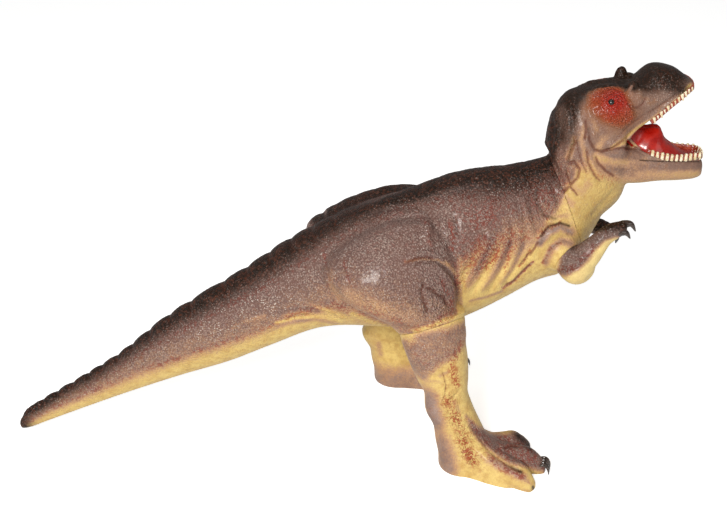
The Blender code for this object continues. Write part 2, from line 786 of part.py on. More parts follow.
def main():
    clear_scene()
    vinyl = paint("vinyl_skin", mauve, 0.42)
    lining_paint = paint("mouth_red", mouth_red, 0.25)
    bead = paint("eye_bead", bead_black, 0.12)
    plug_plastic = paint("plug_plastic", plug_white, 0.5)
    fibre = paint("fibre_stuffing", fibre_white, 0.95)
    make_trunk(vinyl)
    make_head(vinyl, lining_paint, bead)
    swivel_plug("neck_plug", "neck_washer", neck_joint(), neck_plug_radius, plug_plastic)
    for hand, word in ((RIGHT, "right"), (LEFT, "left")):
        make_leg(hand, f"{word}_leg_shell", vinyl)
        make_arm(hand, f"{word}_arm_shell", vinyl)
        swivel_plug(f"{word}_leg_plug", f"{word}_leg_washer", leg_joint(hand), leg_plug_radius, plug_plastic)
        swivel_plug(f"{word}_arm_plug", f"{word}_arm_washer", arm_joint(hand), arm_plug_radius, plug_plastic)
    make_stuffing(fibre)
    pivots = {"right_arm": arm_joint(RIGHT), "left_arm": arm_joint(LEFT)}
    pivots.update({"right_leg": leg_joint(RIGHT), "left_leg": leg_joint(LEFT)})
    pivots.update({word: neck_joint() for word in ("head", "neck", "mouth_lining", "right_eye", "left_eye")})
    for made in bpy.data.objects:
        for word, joint in pivots.items():
            if made.name.startswith(word) and not made.hide_render:
                set_pivot(made, joint[0])


main()
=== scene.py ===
import math

import bmesh
import bpy
import numpy as np
from mathutils import Matrix, Vector


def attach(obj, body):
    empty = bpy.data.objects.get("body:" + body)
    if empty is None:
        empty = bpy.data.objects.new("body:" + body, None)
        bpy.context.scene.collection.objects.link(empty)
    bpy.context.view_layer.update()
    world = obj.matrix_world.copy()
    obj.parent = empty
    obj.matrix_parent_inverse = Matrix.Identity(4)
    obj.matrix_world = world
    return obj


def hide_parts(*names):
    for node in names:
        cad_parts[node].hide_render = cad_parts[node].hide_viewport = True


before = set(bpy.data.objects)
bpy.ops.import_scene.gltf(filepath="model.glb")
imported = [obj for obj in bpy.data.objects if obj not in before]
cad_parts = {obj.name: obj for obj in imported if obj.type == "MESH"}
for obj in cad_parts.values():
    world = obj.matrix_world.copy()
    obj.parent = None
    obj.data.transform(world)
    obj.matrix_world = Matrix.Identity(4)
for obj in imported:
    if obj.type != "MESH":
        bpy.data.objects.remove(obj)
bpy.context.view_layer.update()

RIGHT, LEFT = -1, 1
X, Y, Z = np.eye(3)

# The camera that the photo was taken with, fitted to the figure. The creases and
# patches below are placed by where they are seen through it, in picture pixels.
CAM = np.array([-0.04145, -1.1036, 0.7275])
TILT, TURN = math.radians(26), math.radians(-3)
FOCAL, WIDE_PX, HIGH_PX = 1214.3, 727, 522
CAM_BACK = np.array([math.sin(TURN) * math.cos(TILT), -math.cos(TURN) * math.cos(TILT), math.sin(TILT)])
CAM_RIGHT = np.array([math.cos(TURN), math.sin(TURN), 0.0])
CAM_UP = np.cross(CAM_BACK, CAM_RIGHT)

# Main sizes of the CAD part
LENGTH, HIP, TALL, BROAD = 0.701, 0.187, 0.0737, 0.061
NECK = np.array([0.3096 * LENGTH, 0.0, 1.340 * HIP])
NECK_LEAN, NECK_HIGH, NECK_WIDE = 21.7, 0.050, 0.043
HEAD_L, HEAD_H, HEAD_W = 0.114, 0.054, 0.0385
SKULL = NECK + [0.0255, 0, 0.0675]
JAW_L, JAW_H, JAW_W = 0.096, 0.0205, 0.028
MOUTH = NECK + [0.0505, 0, 0.0745]
MOUTH_L, MOUTH_H = 0.082, 0.034
LEG = np.array([0.1141 * LENGTH, 0.066, 0.150])
LEG_R, FOOT, SPLAY, TOE = 0.033, 0.110, 0.0195, 0.0165
THIGH_H, THIGH_D, THIGH_W = 0.101, 0.066, 0.039
ARM = np.array([0.3060 * LENGTH, 0.043, 1.112 * HIP])
ARM_R, ELBOW_R, ELBOW_OUT, FORE_L, FORE_R = 0.0165, 0.018, 0.0125, 0.047, 0.013
HALF_GAP = 0.00012
JAW_ROOT = MOUTH - [0.0133, 0, 0.0289]
HORN, EYE, EYE_R = np.array([0.0525, 0.023, 0.1160]), np.array([0.0305, 0.029, 0.1115]), 0.0032
SETBACK, CALF_BACK = {RIGHT: 0.0, LEFT: 0.030}, 0.025  # the left leg's joint, and its foot beyond that
HEEL = np.array([LEG[0] + 0.336 * FOOT, -LEG[1] - SPLAY, 0])
ARM_HANGS = 52  # degrees that the left arm is turned down from the right one's pose

# Sizes of the looks alone
LEG_SEAT, ARM_SEAT, SEAT_REACH, SHOULDER_WALL = 0.037, 0.019, 0.03, 0.0028
TIP_IN, OVER_FLOOR = 0.0006, 0.0003
MOUTH_REACH, TONGUE_TALL, LINING_THICK, GUM_HALF = 0.05, 0.0205, 0.0034, 0.0014
CRACK_PX, CRACK_MM = 1.8, 1.5  # narrower creases get painted shade too, in full from this depth on
MARKS = ("groove", "ochre", "dark", "red", "gloss", "pebble", "phase", "crest", "patch")


def unit(v):
    v = np.asarray(v, float)
    return v / np.linalg.norm(v)


def pointing(rise, turn):
    """The direction that rises so many degrees above level and turns so many to the left of forward."""
    rise, turn = math.radians(rise), math.radians(turn)
    return np.array([math.cos(rise) * math.cos(turn), math.cos(rise) * math.sin(turn), math.sin(rise)])


NECK_AXIS = pointing(NECK_LEAN, 0)


def leg_joint(hand):
    """Middle of the seam under a thigh, and the axis that the leg turns on."""
    axis = unit([math.tan(math.radians(17)), hand * math.tan(math.radians(24)), -1])
    return LEG * [1, hand, 1] - X * SETBACK[hand], axis


def arm_joint(hand):
    """Middle of a shoulder's seam, and the axis that the arm turns on."""
    return ARM * [1, hand, 1], pointing(-23, 49 * hand)


# Forms, read along each one
TRUNK = (  # along, height, half height, half width, lean
    (0.0012, 0.020, 0.060, 0.070, 4), (0.0070, 0.040, 0.100, 0.092, 5), (0.0167, 0.069, 0.152, 0.125, 7),
    (0.0405, 0.114, 0.166, 0.164, 14), (0.1067, 0.236, 0.223, 0.230, 17), (0.1720, 0.360, 0.299, 0.303, 17),
    (0.2400, 0.505, 0.434, 0.410, 18), (0.3053, 0.623, 0.532, 0.508, 19.5),
    (0.3675, 0.743, 0.581, 0.590, 20), (0.4304, 0.871, 0.654, 0.705, 20.5),
    (0.4785, 0.931, 0.750, 0.820, 18.5), (0.5221, 0.967, 0.859, 0.918, 15),
    (0.5708, 0.998, 0.953, 0.984, 13), (0.6205, 1.038, 1.000, 1.000, 12), (0.6672, 1.105, 0.998, 0.951, 12),
    (0.7098, 1.164, 0.931, 0.902, 13), (0.7511, 1.215, 0.837, 0.852, 14), (0.7840, 1.246, 0.835, 0.790, 13.5),
)
THIGH = (  # forward, down, inward, half depth, half width
    (-0.33, 0.000, 0.56, 0.29, 0.20), (-0.38, 0.060, 0.51, 0.44, 0.38), (-0.45, 0.145, 0.46, 0.645, 0.58),
    (-0.515, 0.240, 0.42, 0.79, 0.74), (-0.59, 0.350, 0.37, 0.925, 0.87), (-0.65, 0.480, 0.30, 1.00, 0.97),
    (-0.53, 0.683, 0.20, 0.88, 1.00), (-0.24, 0.850, 0.10, 0.68, 0.93),
)
SHANK = (  # height, forward, outward, half depth, half width
    (0.988, 0.018, 0.20, 0.955, 0.930), (0.849, 0.060, 0.27, 0.894, 0.840),
    (0.707, 0.100, 0.32, 0.788, 0.720), (0.586, 0.136, 0.43, 0.667, 0.620),
    (0.447, 0.172, 0.57, 0.742, 0.606), (0.324, 0.242, 0.71, 0.735, 0.606),
    (0.201, 0.290, 0.86, 0.818, 0.670), (0.085, 0.336, 1.00, 0.879, 0.790),
    (-0.017, 0.336, 1.00, 0.864, 0.830),
)
INSTEP = (  # forward of the heel, outward, half width, height
    (-0.17, 0.00, 0.195, 0.28), (0.00, 0.01, 0.255, 0.36), (0.16, 0.045, 0.320, 0.31),
    (0.31, 0.060, 0.370, 0.200), (0.42, 0.065, 0.345, 0.130),
)
TOE_ROWS = (  # along, half width, half height, height of the middle
    (0.00, 1.00, 1.05, 0.70), (0.30, 0.92, 0.95, 0.62), (0.55, 0.80, 0.86, 0.62),
    (0.72, 0.74, 0.84, 0.60), (0.86, 0.56, 0.60, 0.38), (0.95, 0.34, 0.34, 0.20),
)
TOES = (  # run forward and outward, root forward and outward
    (0.51, -0.47, 0.055, -0.03), (0.65, -0.20, 0.085, 0.00), (0.615, 0.16, 0.030, 0.02),
)
SKULL_ROWS = (  # forward, up, half height, half width, lean, squareness
    (-0.162, -0.815, 0.874, 1.04, 40, 2.0), (-0.079, -0.444, 0.996, 1.00, 43, 2.1),
    (0.000, 0.000, 0.990, 0.96, 39, 2.1), (0.070, 0.222, 0.825, 0.94, 33, 2.3),
    (0.154, 0.531, 0.480, 0.92, 20, 2.7), (0.316, 0.667, 0.376, 0.76, 12, 2.7),
    (0.460, 0.889, 0.431, 0.64, 9, 2.5), (0.618, 0.963, 0.319, 0.56, 8, 2.4),
    (0.714, 0.944, 0.200, 0.43, 6, 2.3), (0.765, 0.915, 0.120, 0.26, 0, 2.0),
)
JAW = (  # forward, up, half height, half width
    (0.000, 0.00, 0.98, 0.960), (0.160, -0.13, 1.00, 1.000), (0.340, -0.25, 0.90, 0.946),
    (0.526, -0.32, 0.76, 0.857), (0.734, -0.40, 0.71, 0.714), (0.911, -0.47, 0.63, 0.518),
    (1.000, -0.59, 0.41, 0.286),
)
HORN_ROWS = (  # forward, up, half size
    (-0.004, -0.008, 0.0072), (-0.001, 0.004, 0.0062), (-0.0006, 0.0115, 0.0048), (0, 0.0146, 0.0022),
)
BROW_ROWS = ((-0.004, 0, 0.0050), (0.008, 0.0040, 0.0052), (0.018, 0.0005, 0.0030))
PALATE = ((0.10, 0.30), (0.30, 0.66), (0.47, 1.02), (0.62, 1.30), (1.35, 2.42))  # forward, up
FLOOR_OF_MOUTH = ((0.15, -0.38), (0.32, -0.62), (0.62, -0.79), (1.35, -0.88))
LINING = (  # forward, up, half width, crown of the tongue
    (0.58, 1.20, 0.62, 0.02), (0.47, 0.99, 0.72, 0.02), (0.30, 0.62, 0.86, 0.03), (0.10, 0.28, 0.96, 0.03),
    (0.00, 0.00, 1.00, 0.40), (0.15, -0.38, 0.98, 0.98), (0.29, -0.58, 0.92, 1.22),
    (0.39, -0.66, 0.87, 1.16), (0.50, -0.725, 0.81, 0.70), (0.62, -0.79, 0.75, 0.48),
    (0.72, -0.81, 0.66, 0.26), (0.82, -0.82, 0.58, 0.10), (0.89, -0.82, 0.50, 0.07),
    (0.94, -0.82, 0.42, 0.04),
)
FOREARM = (  # along, towards the palm, half size
    (0.00, 0.00, 0.95), (0.22, 0.00, 1.05), (0.42, 0.00, 0.98), (0.62, 0.00, 0.82), (0.83, 0.00, 0.69),
    (1.04, 0.05, 0.66), (1.20, 0.14, 0.54), (1.28, 0.22, 0.30),
)
CLAWS = (  # along, towards the palm, sideways, half size
    ((1.16, 0.08, 0.06, 0.36), (1.28, 0.15, 0.07, 0.33), (1.38, 0.27, 0.07, 0.22),
     (1.32, 0.45, 0.07, 0.05)),
    ((1.02, 0.04, -0.06, 0.36), (1.12, 0.12, -0.08, 0.33), (1.20, 0.25, -0.08, 0.22),
     (1.16, 0.40, -0.08, 0.05)),
)


# Arrays and curves
def smoothed(rows, steps):
    """Rows of numbers with steps rows for each one given, on a smooth curve through them."""
    r = np.array(rows, float)
    pad = np.vstack([r[:1], r, r[-1:]])
    out = []
    for p, q, s, t in zip(pad, pad[1:], pad[2:], pad[3:]):
        for u in np.arange(steps) / steps:
            out.append(0.5 * (2 * q + (s - p) * u + (2 * p - 5 * q + 4 * s - t) * u * u
                              + (3 * q - p - 3 * s + t) * u ** 3))
    return np.vstack(out + [r[-1]])


def step_up(value, low, high):
    """0 under the low value and 1 over the high one, smooth between them."""
    t = np.clip((value - low) / (high - low), 0, 1)
    return t * t * (3 - 2 * t)


def hump(values, middle, wide):
    """1 where the values are at the middle, fading out over that width on both sides."""
    return np.exp(-((values - middle) / wide) ** 2)


def at_neck(points):
    """1 on the neck's seam, fading out on both sides of it."""
    return hump((points - NECK) @ NECK_AXIS, 0, 0.020)


def seen(points, mirrored=True):
    """Where points are seen in the photo. The left side is taken as the right side's mirror image."""
    p = points.copy()
    if mirrored:
        p[:, 1] = -np.abs(p[:, 1])
    rel = p - CAM
    depth = -rel @ CAM_BACK
    u = WIDE_PX / 2 + FOCAL * (rel @ CAM_RIGHT) / depth
    v = HIGH_PX / 2 - FOCAL * (rel @ CAM_UP) / depth
    return np.stack([u, v], 1)


def away(uv, line):
    """Distance in pixels from a line through several points, and how far along it, 0 to 1."""
    line = np.array(line, float)
    best, along, total = np.full(len(uv), np.inf), np.zeros(len(uv)), 0.0
    whole = np.linalg.norm(np.diff(line, axis=0), axis=1).sum()
    for a, b in zip(line, line[1:]):
        d = b - a
        size = np.linalg.norm(d)
        t = np.clip(((uv - a) @ d) / (size * size), 0, 1)
        far = np.linalg.norm(uv - a - t[:, None] * d, axis=1)
        along = np.where(far < best, (total + t * size) / whole, along)
        best = np.minimum(best, far)
        total += size
    return best, along


def near(uv, line, wide):
    """1 on a line in the picture, fading out over that many pixels."""
    return hump(away(uv, line)[0], 0, wide)


def spot(uv, u, v, wide, high):
    """1 at a place in the picture, fading out over so many pixels each way."""
    return np.exp(-(((uv[:, 0] - u) / wide) ** 2 + ((uv[:, 1] - v) / high) ** 2))


def within(uv, outline, soft):
    """1 inside an outline, 0 outside it, with a soft edge that many pixels wide."""
    line = np.array(outline, float)
    loop = np.vstack([line, line[:1]])
    far, _ = away(uv, loop)
    inside = np.zeros(len(uv), bool)
    for (ax, ay), (bx, by) in zip(loop, loop[1:]):
        crosses = (ay > uv[:, 1]) != (by > uv[:, 1])
        inside ^= crosses & (uv[:, 0] < (bx - ax) * (uv[:, 1] - ay) / (by - ay if by != ay else 1e-9) + ax)
    return step_up(np.where(inside, far, -far), -soft / 2, soft / 2)


# Lofts
def ring(centre, side, up, sides, square=2.0):
    """Points round an oval. A square over 2 fills out its corners."""
    a = np.arange(sides) * (math.tau / sides)
    c, s = (np.sign(w) * np.abs(w) ** (2 / square) for w in (np.cos(a), np.sin(a)))
    return np.asarray(centre) + c[:, None] * np.asarray(side) + s[:, None] * np.asarray(up)


def leaning(centre, wide, high, lean, square=2.0, sides=72):
    """A ring across the figure that leans back by so many degrees."""
    a = math.radians(lean)
    return ring(centre, Y * wide, np.array([-math.sin(a), 0, math.cos(a)]) * high, sides, square)


def neck_collars(*places):
    """Rings across the neck's seam, at places along its axis."""
    return [leaning(NECK + NECK_AXIS * along, NECK_WIDE, NECK_HIGH, NECK_LEAN) for along in places]


def leg_collars(hand, *collars):
    """Round rings across the seam under a thigh: place along its axis, and size against the seam's."""
    centre, axis = leg_joint(hand)
    side = unit(X - axis * axis[0])
    up = Y - axis * axis[1]
    up = unit(up - side * (side @ up))
    return [ring(centre + axis * along, side * LEG_R * grow, up * LEG_R * grow, 56)
            for along, grow in collars]


def square_to(axis):
    """Two directions at right angles to an axis and to each other."""
    side = unit(np.cross(axis, Z if abs(axis[2]) < 0.9 else Y))
    return side, np.cross(side, axis)


def tube(rings):
    """A closed loft over rings of the same number of points, as vertices and faces."""
    count = len(rings[0])
    faces = [list(range(count))[::-1], [len(rings) * count - count + i for i in range(count)]]
    for k in range(len(rings) - 1):
        a, b = k * count, k * count + count
        faces += [[a + i, a + (i + 1) % count, b + (i + 1) % count, b + i] for i in range(count)]
    return np.vstack(rings), faces


def path_tube(points, sizes, sides=20, flat=1.0):
    """A closed tube along a path. Sizes are its half widths, one for all points or one for each."""
    points = np.array(points, float)
    sizes = np.broadcast_to(sizes, len(points))
    rings = []
    for i, p in enumerate(points):
        way = unit(points[min(i + 1, len(points) - 1)] - points[max(i - 1, 0)])
        side, up = square_to(way)
        rings.append(ring(p, side * sizes[i], up * sizes[i] * flat, sides))
    return tube(rings)


def ball(centre, radius):
    rows = []
    for a in np.linspace(0.06, math.pi - 0.06, 22):
        wide = math.sin(a) * radius
        rows.append(ring(np.asarray(centre) + Z * (-math.cos(a) * radius), X * wide, Y * wide, 40))
    return tube(rows)


def placed(name, data):
    """A new object in the scene that shows the data."""
    made = bpy.data.objects.new(name, data)
    bpy.context.scene.collection.objects.link(made)
    return made


def new_object(name, verts, faces):
    """An object with its faces turned outwards."""
    mesh = bpy.data.meshes.new(name)
    mesh.from_pydata([tuple(map(float, v)) for v in verts], [], faces)
    edit = bmesh.new()
    edit.from_mesh(mesh)
    bmesh.ops.recalc_face_normals(edit, faces=edit.faces)
    edit.to_mesh(mesh)
    edit.free()
    return placed(name, mesh)


def points_of(mesh):
    flat = np.empty(len(mesh.vertices) * 3, np.float32)
    mesh.vertices.foreach_get("co", flat)
    return flat.reshape(-1, 3).astype(float)


def set_points(mesh, points):
    mesh.vertices.foreach_set("co", points.astype(np.float32).ravel())
    mesh.update()


def gathered(name, tubes):
    """One object that holds several tubes."""
    verts, faces, base = [], [], 0
    for v, f in tubes:
        verts.append(v)
        faces += [[base + i for i in face] for face in f]
        base += len(v)
    return new_object(name, np.vstack(verts), faces)


def discard(*objects):
    for o in objects:
        bpy.data.objects.remove(o)


def joined(name, parts):
    """One object in place of several."""
    tubes = [(points_of(o.data), [list(f.vertices) for f in o.data.polygons]) for o in parts]
    discard(*parts)
    return gathered(name, tubes)


def settled(made):
    """The object with its modifiers turned into plain mesh."""
    bpy.context.view_layer.update()
    depsgraph = bpy.context.evaluated_depsgraph_get()
    mesh = bpy.data.meshes.new_from_object(made.evaluated_get(depsgraph))
    made.modifiers.clear()
    made.data = mesh
    return made


def one_skin(made, voxel):
    """One closed skin of even small faces over everything the object holds."""
    modifier = made.modifiers.new("skin", "REMESH")
    modifier.mode = "VOXEL"
    modifier.voxel_size = voxel
    return settled(made)


class Skin:
    """A skin as arrays: it is relaxed, pressed and painted, then written back."""

    def __init__(self, made):
        self.made = made
        self.mesh = made.data
        self.P = points_of(self.mesh)
        pairs = np.empty(len(self.mesh.edges) * 2, np.int32)
        self.mesh.edges.foreach_get("vertices", pairs)
        self.E = pairs.reshape(-1, 2)
        self.links = np.bincount(self.E.ravel(), minlength=len(self.P))
        self.marks = {}

    def relax(self, times, share=1.0):
        """Moves each point halfway to the mean of its neighbours, or a share of that."""
        a, b = self.E.T
        count = len(self.P)
        for _ in range(times):
            mean = np.stack([np.bincount(a, self.P[b, k], count) + np.bincount(b, self.P[a, k], count)
                             for k in range(3)], 1) / self.links[:, None]
            self.P += (mean - self.P) * (0.5 * np.asarray(share)).reshape(-1, 1)

    def normals(self):
        set_points(self.mesh, self.P)
        flat = np.empty(len(self.P) * 3, np.float32)
        self.mesh.vertex_normals.foreach_get("vector", flat)
        return flat.reshape(-1, 3).astype(float)

    def view(self):
        """Picture place of each point, and how squarely it faces the camera from its own side."""
        n = self.normals()
        n[:, 1] = np.where(self.P[:, 1] > 0, -n[:, 1], n[:, 1])
        return seen(self.P), step_up(n @ CAM_BACK, 0.0, 0.35)

    def press(self, strokes):
        """Creases (height under 0) and folds (over 0): line in the picture, width in px, height in mm."""
        uv, facing = self.view()
        lift = np.zeros(len(self.P))
        groove = np.zeros(len(self.P))
        for line, wide, high in strokes:
            far, along = away(uv, line)
            ends = np.clip(np.minimum(along, 1 - along) * 8, 0.25, 1)
            lift += hump(far, 0, wide) * ends * facing * high / 1000
            # Creases too narrow for the mesh to shade get painted shade in the groove mark
            if high < 0 and wide < CRACK_PX:
                crease_shade = hump(far, 0, wide * 1.1) * ends * facing * min(1, -high / CRACK_MM)
                groove = np.maximum(groove, crease_shade)
        self.P += self.normals() * lift[:, None]
        self.mark("groove", groove)

    def mark(self, name, values):
        self.marks[name] = np.maximum(self.marks.get(name, 0), values)

    def paint(self, name, values):
        self.mark(name, np.clip(values, 0, 1))

    def done(self):
        """The skin's object, with its marks. One that was never made is zero."""
        set_points(self.mesh, self.P)
        for name in MARKS:
            layer = self.mesh.attributes.new(name, "FLOAT", "POINT")
            values = self.marks.get(name, np.zeros(len(self.P)))
            layer.data.foreach_set("value", np.asarray(values, np.float32))
        return self.made


def flattened(points, centre, axis, start, radius):
    """Points inside a round seat are moved back onto its flat face."""
    rel = points - centre
    along = rel @ axis
    out = np.linalg.norm(rel - along[:, None] * axis, axis=1)
    over = (along > start) & (out < radius) & (along < SEAT_REACH)
    return points - axis * (np.where(over, along - start, 0))[:, None]


def cut_clean(made, seam, axis):
    """Everything goes that lies along the axis from a seam, and the opening is closed flat."""
    edit = bmesh.new()
    edit.from_mesh(made.data)
    everything = edit.verts[:] + edit.edges[:] + edit.faces[:]
    got = bmesh.ops.bisect_plane(edit, geom=everything, dist=1e-7, plane_co=Vector(seam - axis * HALF_GAP),
                                 plane_no=Vector(axis), clear_outer=True)
    rim = [e for e in got["geom_cut"] if isinstance(e, bmesh.types.BMEdge)]
    bmesh.ops.holes_fill(edit, edges=[e for e in rim if e.is_boundary], sides=0)
    bmesh.ops.triangulate(edit, faces=[f for f in edit.faces if len(f.verts) > 4])
    edit.to_mesh(made.data)
    edit.free()


# Node trees
class Wire:
    """A value in a node tree. Adding, taking away, multiplying or dividing wires adds math nodes."""

    def __init__(self, tree, socket):
        self.tree = tree
        self.socket = socket

    def __add__(self, other):
        return self.tree.math("ADD", self, other)

    def __sub__(self, other):
        return self.tree.math("SUBTRACT", self, other)

    def __rsub__(self, other):
        return self.tree.math("SUBTRACT", other, self)

    def __mul__(self, other):
        return self.tree.math("MULTIPLY", self, other)

    def __rtruediv__(self, other):
        return self.tree.math("DIVIDE", other, self)


class Tree:
    """Adds nodes to a tree by kind and joins them up in one call."""

    def __init__(self, tree):
        self.tree = tree

    def add(self, kind, settings=None, **inputs):
        node = self.tree.nodes.new(kind)
        for key, value in (settings or {}).items():
            setattr(node, key, value)
        self.join(node, **inputs)
        return node

    def join(self, node, **inputs):
        """Sets inputs of a node by name, with _ for each space, or by number as i0, i1 and so on."""
        for key, value in inputs.items():
            numbered = key[0] == "i" and key[1:].isdigit()
            socket = node.inputs[int(key[1:]) if numbered else key.replace("_", " ")]
            value = value.socket if isinstance(value, Wire) else value
            value = value.outputs[0] if isinstance(value, bpy.types.Node) else value
            if isinstance(value, bpy.types.NodeSocket):
                self.tree.links.new(value, socket)
            else:
                socket.default_value = value

    def wire(self, node, output=0):
        return Wire(self, node.outputs[output])

    def math(self, operation, a, b=0.0):
        return self.wire(self.add("ShaderNodeMath", {"operation": operation}, i0=a, i1=b))

    def ramp(self, value, low, high, to_low=0.0, to_high=1.0):
        return self.wire(self.add("ShaderNodeMapRange", {"interpolation_type": "SMOOTHSTEP"}, Value=value,
                                  From_Min=low, From_Max=high, To_Min=to_low, To_Max=to_high))

    def mix(self, base, *layers):
        """A colour with others laid over it, each as a share and a colour."""
        for share, over in layers:
            base = self.wire(self.add("ShaderNodeMix", {"data_type": "RGBA"}, i0=share, i6=colour(base),
                                      i7=colour(over)), 2)
        return base

    def noise(self, where, scale, detail=2.0, rough=0.5, warp=0.0):
        return self.wire(self.add("ShaderNodeTexNoise", Vector=where, Scale=scale, Detail=detail,
                                  Roughness=rough, Distortion=warp))

    def mark(self, name):
        return self.wire(self.add("ShaderNodeAttribute", {"attribute_name": name}), "Fac")


def colour(value):
    """Three numbers get the full alpha that a colour socket wants. A wire stays as it is."""
    return (*value, 1.0) if isinstance(value, tuple) else value


def group(name, kind, inputs, outputs):
    """A new node group: its tree, its inputs as wires by name, and its output node."""
    tree = bpy.data.node_groups.new(name, kind)
    for way, sockets in (("INPUT", inputs), ("OUTPUT", outputs)):
        for label, socket in sockets.items():
            tree.interface.new_socket(label, in_out=way, socket_type=socket)
    t = Tree(tree)
    given = t.add("NodeGroupInput")
    return t, {label: t.wire(given, label) for label in inputs}, t.add("NodeGroupOutput")


FLOAT, WHOLE, COLOUR = "NodeSocketFloat", "NodeSocketInt", "NodeSocketColor"
VECTOR, GEOMETRY, MATERIAL = "NodeSocketVector", "NodeSocketGeometry", "NodeSocketMaterial"


def end_tree(t, out, shape, paint):
    """What every tree ends in: instances made real, and a material set."""
    real = t.add("GeometryNodeRealizeInstances", Geometry=shape)
    t.join(out, Geometry=t.add("GeometryNodeSetMaterial", Geometry=real, Material=paint))
    return t.tree


def relief_group():
    """Pebbles and back scutes, raised out of a skin. Marks on the skin say where."""
    t, given, out = group("Skin relief", "GeometryNodeTree", {
        "Geometry": GEOMETRY, "Pebble Size": FLOAT, "Pebble Height": FLOAT, "Scute Fullness": FLOAT,
        "Scute Height": FLOAT, "Material": MATERIAL}, {"Geometry": GEOMETRY})

    def mark(name):
        return t.wire(t.add("GeometryNodeInputNamedAttribute", {"data_type": "FLOAT"}, Name=name))

    cells = t.add("ShaderNodeTexVoronoi", Vector=t.add("GeometryNodeInputPosition"),
                  Scale=1.0 / given["Pebble Size"])
    pebble = (0.42 - t.wire(cells)) * given["Pebble Height"] * mark("pebble")
    arch = t.math("POWER", t.math("SINE", t.math("FRACT", mark("phase")) * math.pi), given["Scute Fullness"])
    scute = (arch - 0.65) * given["Scute Height"] * mark("crest")
    move = t.add("ShaderNodeVectorMath", {"operation": "SCALE"}, i0=t.add("GeometryNodeInputNormal"),
                 Scale=pebble + scute)
    moved = t.add("GeometryNodeSetPosition", Geometry=given["Geometry"], Offset=move)
    return end_tree(t, out, moved, given["Material"])


def rows_group():
    """Teeth, stood in a row along the edges given."""
    t, given, out = group("Row of teeth", "GeometryNodeTree", {
        "Geometry": GEOMETRY, "Count": WHOLE, "Direction": VECTOR, "Width": FLOAT, "Length": FLOAT,
        "Taper": FLOAT, "Variation": FLOAT, "Seed": WHOLE, "Material": MATERIAL}, {"Geometry": GEOMETRY})
    curve = t.add("GeometryNodeMeshToCurve", Mesh=given["Geometry"])
    even = t.add("GeometryNodeResampleCurve", Curve=curve, Count=given["Count"])
    points = t.add("GeometryNodeCurveToPoints", {"mode": "EVALUATED"}, Curve=even)
    block = t.add("GeometryNodeMeshCube", Size=(1, 1, 1), Vertices_X=3, Vertices_Y=3, Vertices_Z=4)
    grain = t.add("GeometryNodeSubdivisionSurface", Mesh=block, Level=2)
    place = t.add("GeometryNodeInputPosition")
    height = t.wire(t.add("ShaderNodeSeparateXYZ", Vector=place), 2) + 0.5
    slim = t.ramp(height, 0.0, 1.0, 1.0, given["Taper"])
    narrow = t.add("ShaderNodeCombineXYZ", X=slim, Y=slim, Z=1.0)
    shaped = t.add("ShaderNodeVectorMath", {"operation": "MULTIPLY"}, i0=place, i1=narrow)
    pointed = t.add("GeometryNodeSetPosition", Geometry=grain, Position=shaped)
    stretch = t.add("ShaderNodeCombineXYZ", X=given["Width"], Y=given["Width"], Z=given["Length"])
    tooth = t.add("GeometryNodeTransform", Geometry=pointed, Scale=stretch)
    aim = t.add("FunctionNodeAlignEulerToVector", {"axis": "Z"}, Vector=given["Direction"])
    low, high = 1.0 - given["Variation"], given["Variation"] + 1.0
    size = t.add("FunctionNodeRandomValue", {"data_type": "FLOAT"}, i2=low, i3=high, Seed=given["Seed"])
    stood = t.add("GeometryNodeInstanceOnPoints", Points=points, Instance=tooth, Rotation=aim,
                  Scale=size.outputs[1])
    return end_tree(t, out, stood, given["Material"])


def grown(made, tree, **values):
    """Runs a node group on an object and keeps the result as plain mesh."""
    modifier = made.modifiers.new("grown", "NODES")
    modifier.node_group = tree
    named = {item.name: item.identifier for item in tree.interface.items_tree if item.in_out == "INPUT"}
    for key, value in values.items():
        modifier[named[key.replace("_", " ")]] = value
    return settled(made)


def raised(skin, paint, size, height, scute=0.0):
    """The skin's object with pebbles of a size and height, and with scutes where it has a crest."""
    return grown(skin.done(), RELIEF, Pebble_Size=size, Pebble_Height=height, Scute_Fullness=0.5,
                 Scute_Height=scute, Material=paint)


# Materials. The paint colours are linear red, green and blue.
MAUVE, MAUVE_PALE, MAUVE_DUSK, MAUVE_GAP = (
    (0.250, 0.164, 0.138), (0.400, 0.292, 0.252), (0.140, 0.072, 0.056), (0.110, 0.048, 0.038))
UMBER, RUSSET = (0.225, 0.118, 0.072), (0.300, 0.140, 0.070)
YELLOW, YELLOW_DEEP, YELLOW_GAP = (0.790, 0.592, 0.205), (0.600, 0.388, 0.125), (0.420, 0.210, 0.080)
OLIVE, CREAM = (0.400, 0.245, 0.080), (0.900, 0.740, 0.360)
TAN, TAN_GAP = (0.500, 0.285, 0.155), (0.260, 0.110, 0.060)
RUST, RUST_BRIGHT = (0.205, 0.042, 0.026), (0.360, 0.062, 0.026)
ORANGE, ORANGE_RED, ORANGE_GAP, PATCH_TINT = (
    (0.320, 0.070, 0.020), (0.390, 0.016, 0.007), (0.150, 0.022, 0.010), (0.230, 0.085, 0.038))
NEAR_BLACK, DARK_BROWN = (0.016, 0.007, 0.003), (0.080, 0.023, 0.010)
# Pale colour of the painted highlights on the pebble tops
HIGHLIGHT_WHITE = (0.720, 0.650, 0.600)
# Colours of the painted shade in the creases
CREASE_SHADE_BROWN, CREASE_SHADE_TAN = (0.120, 0.034, 0.020), (0.210, 0.070, 0.038)


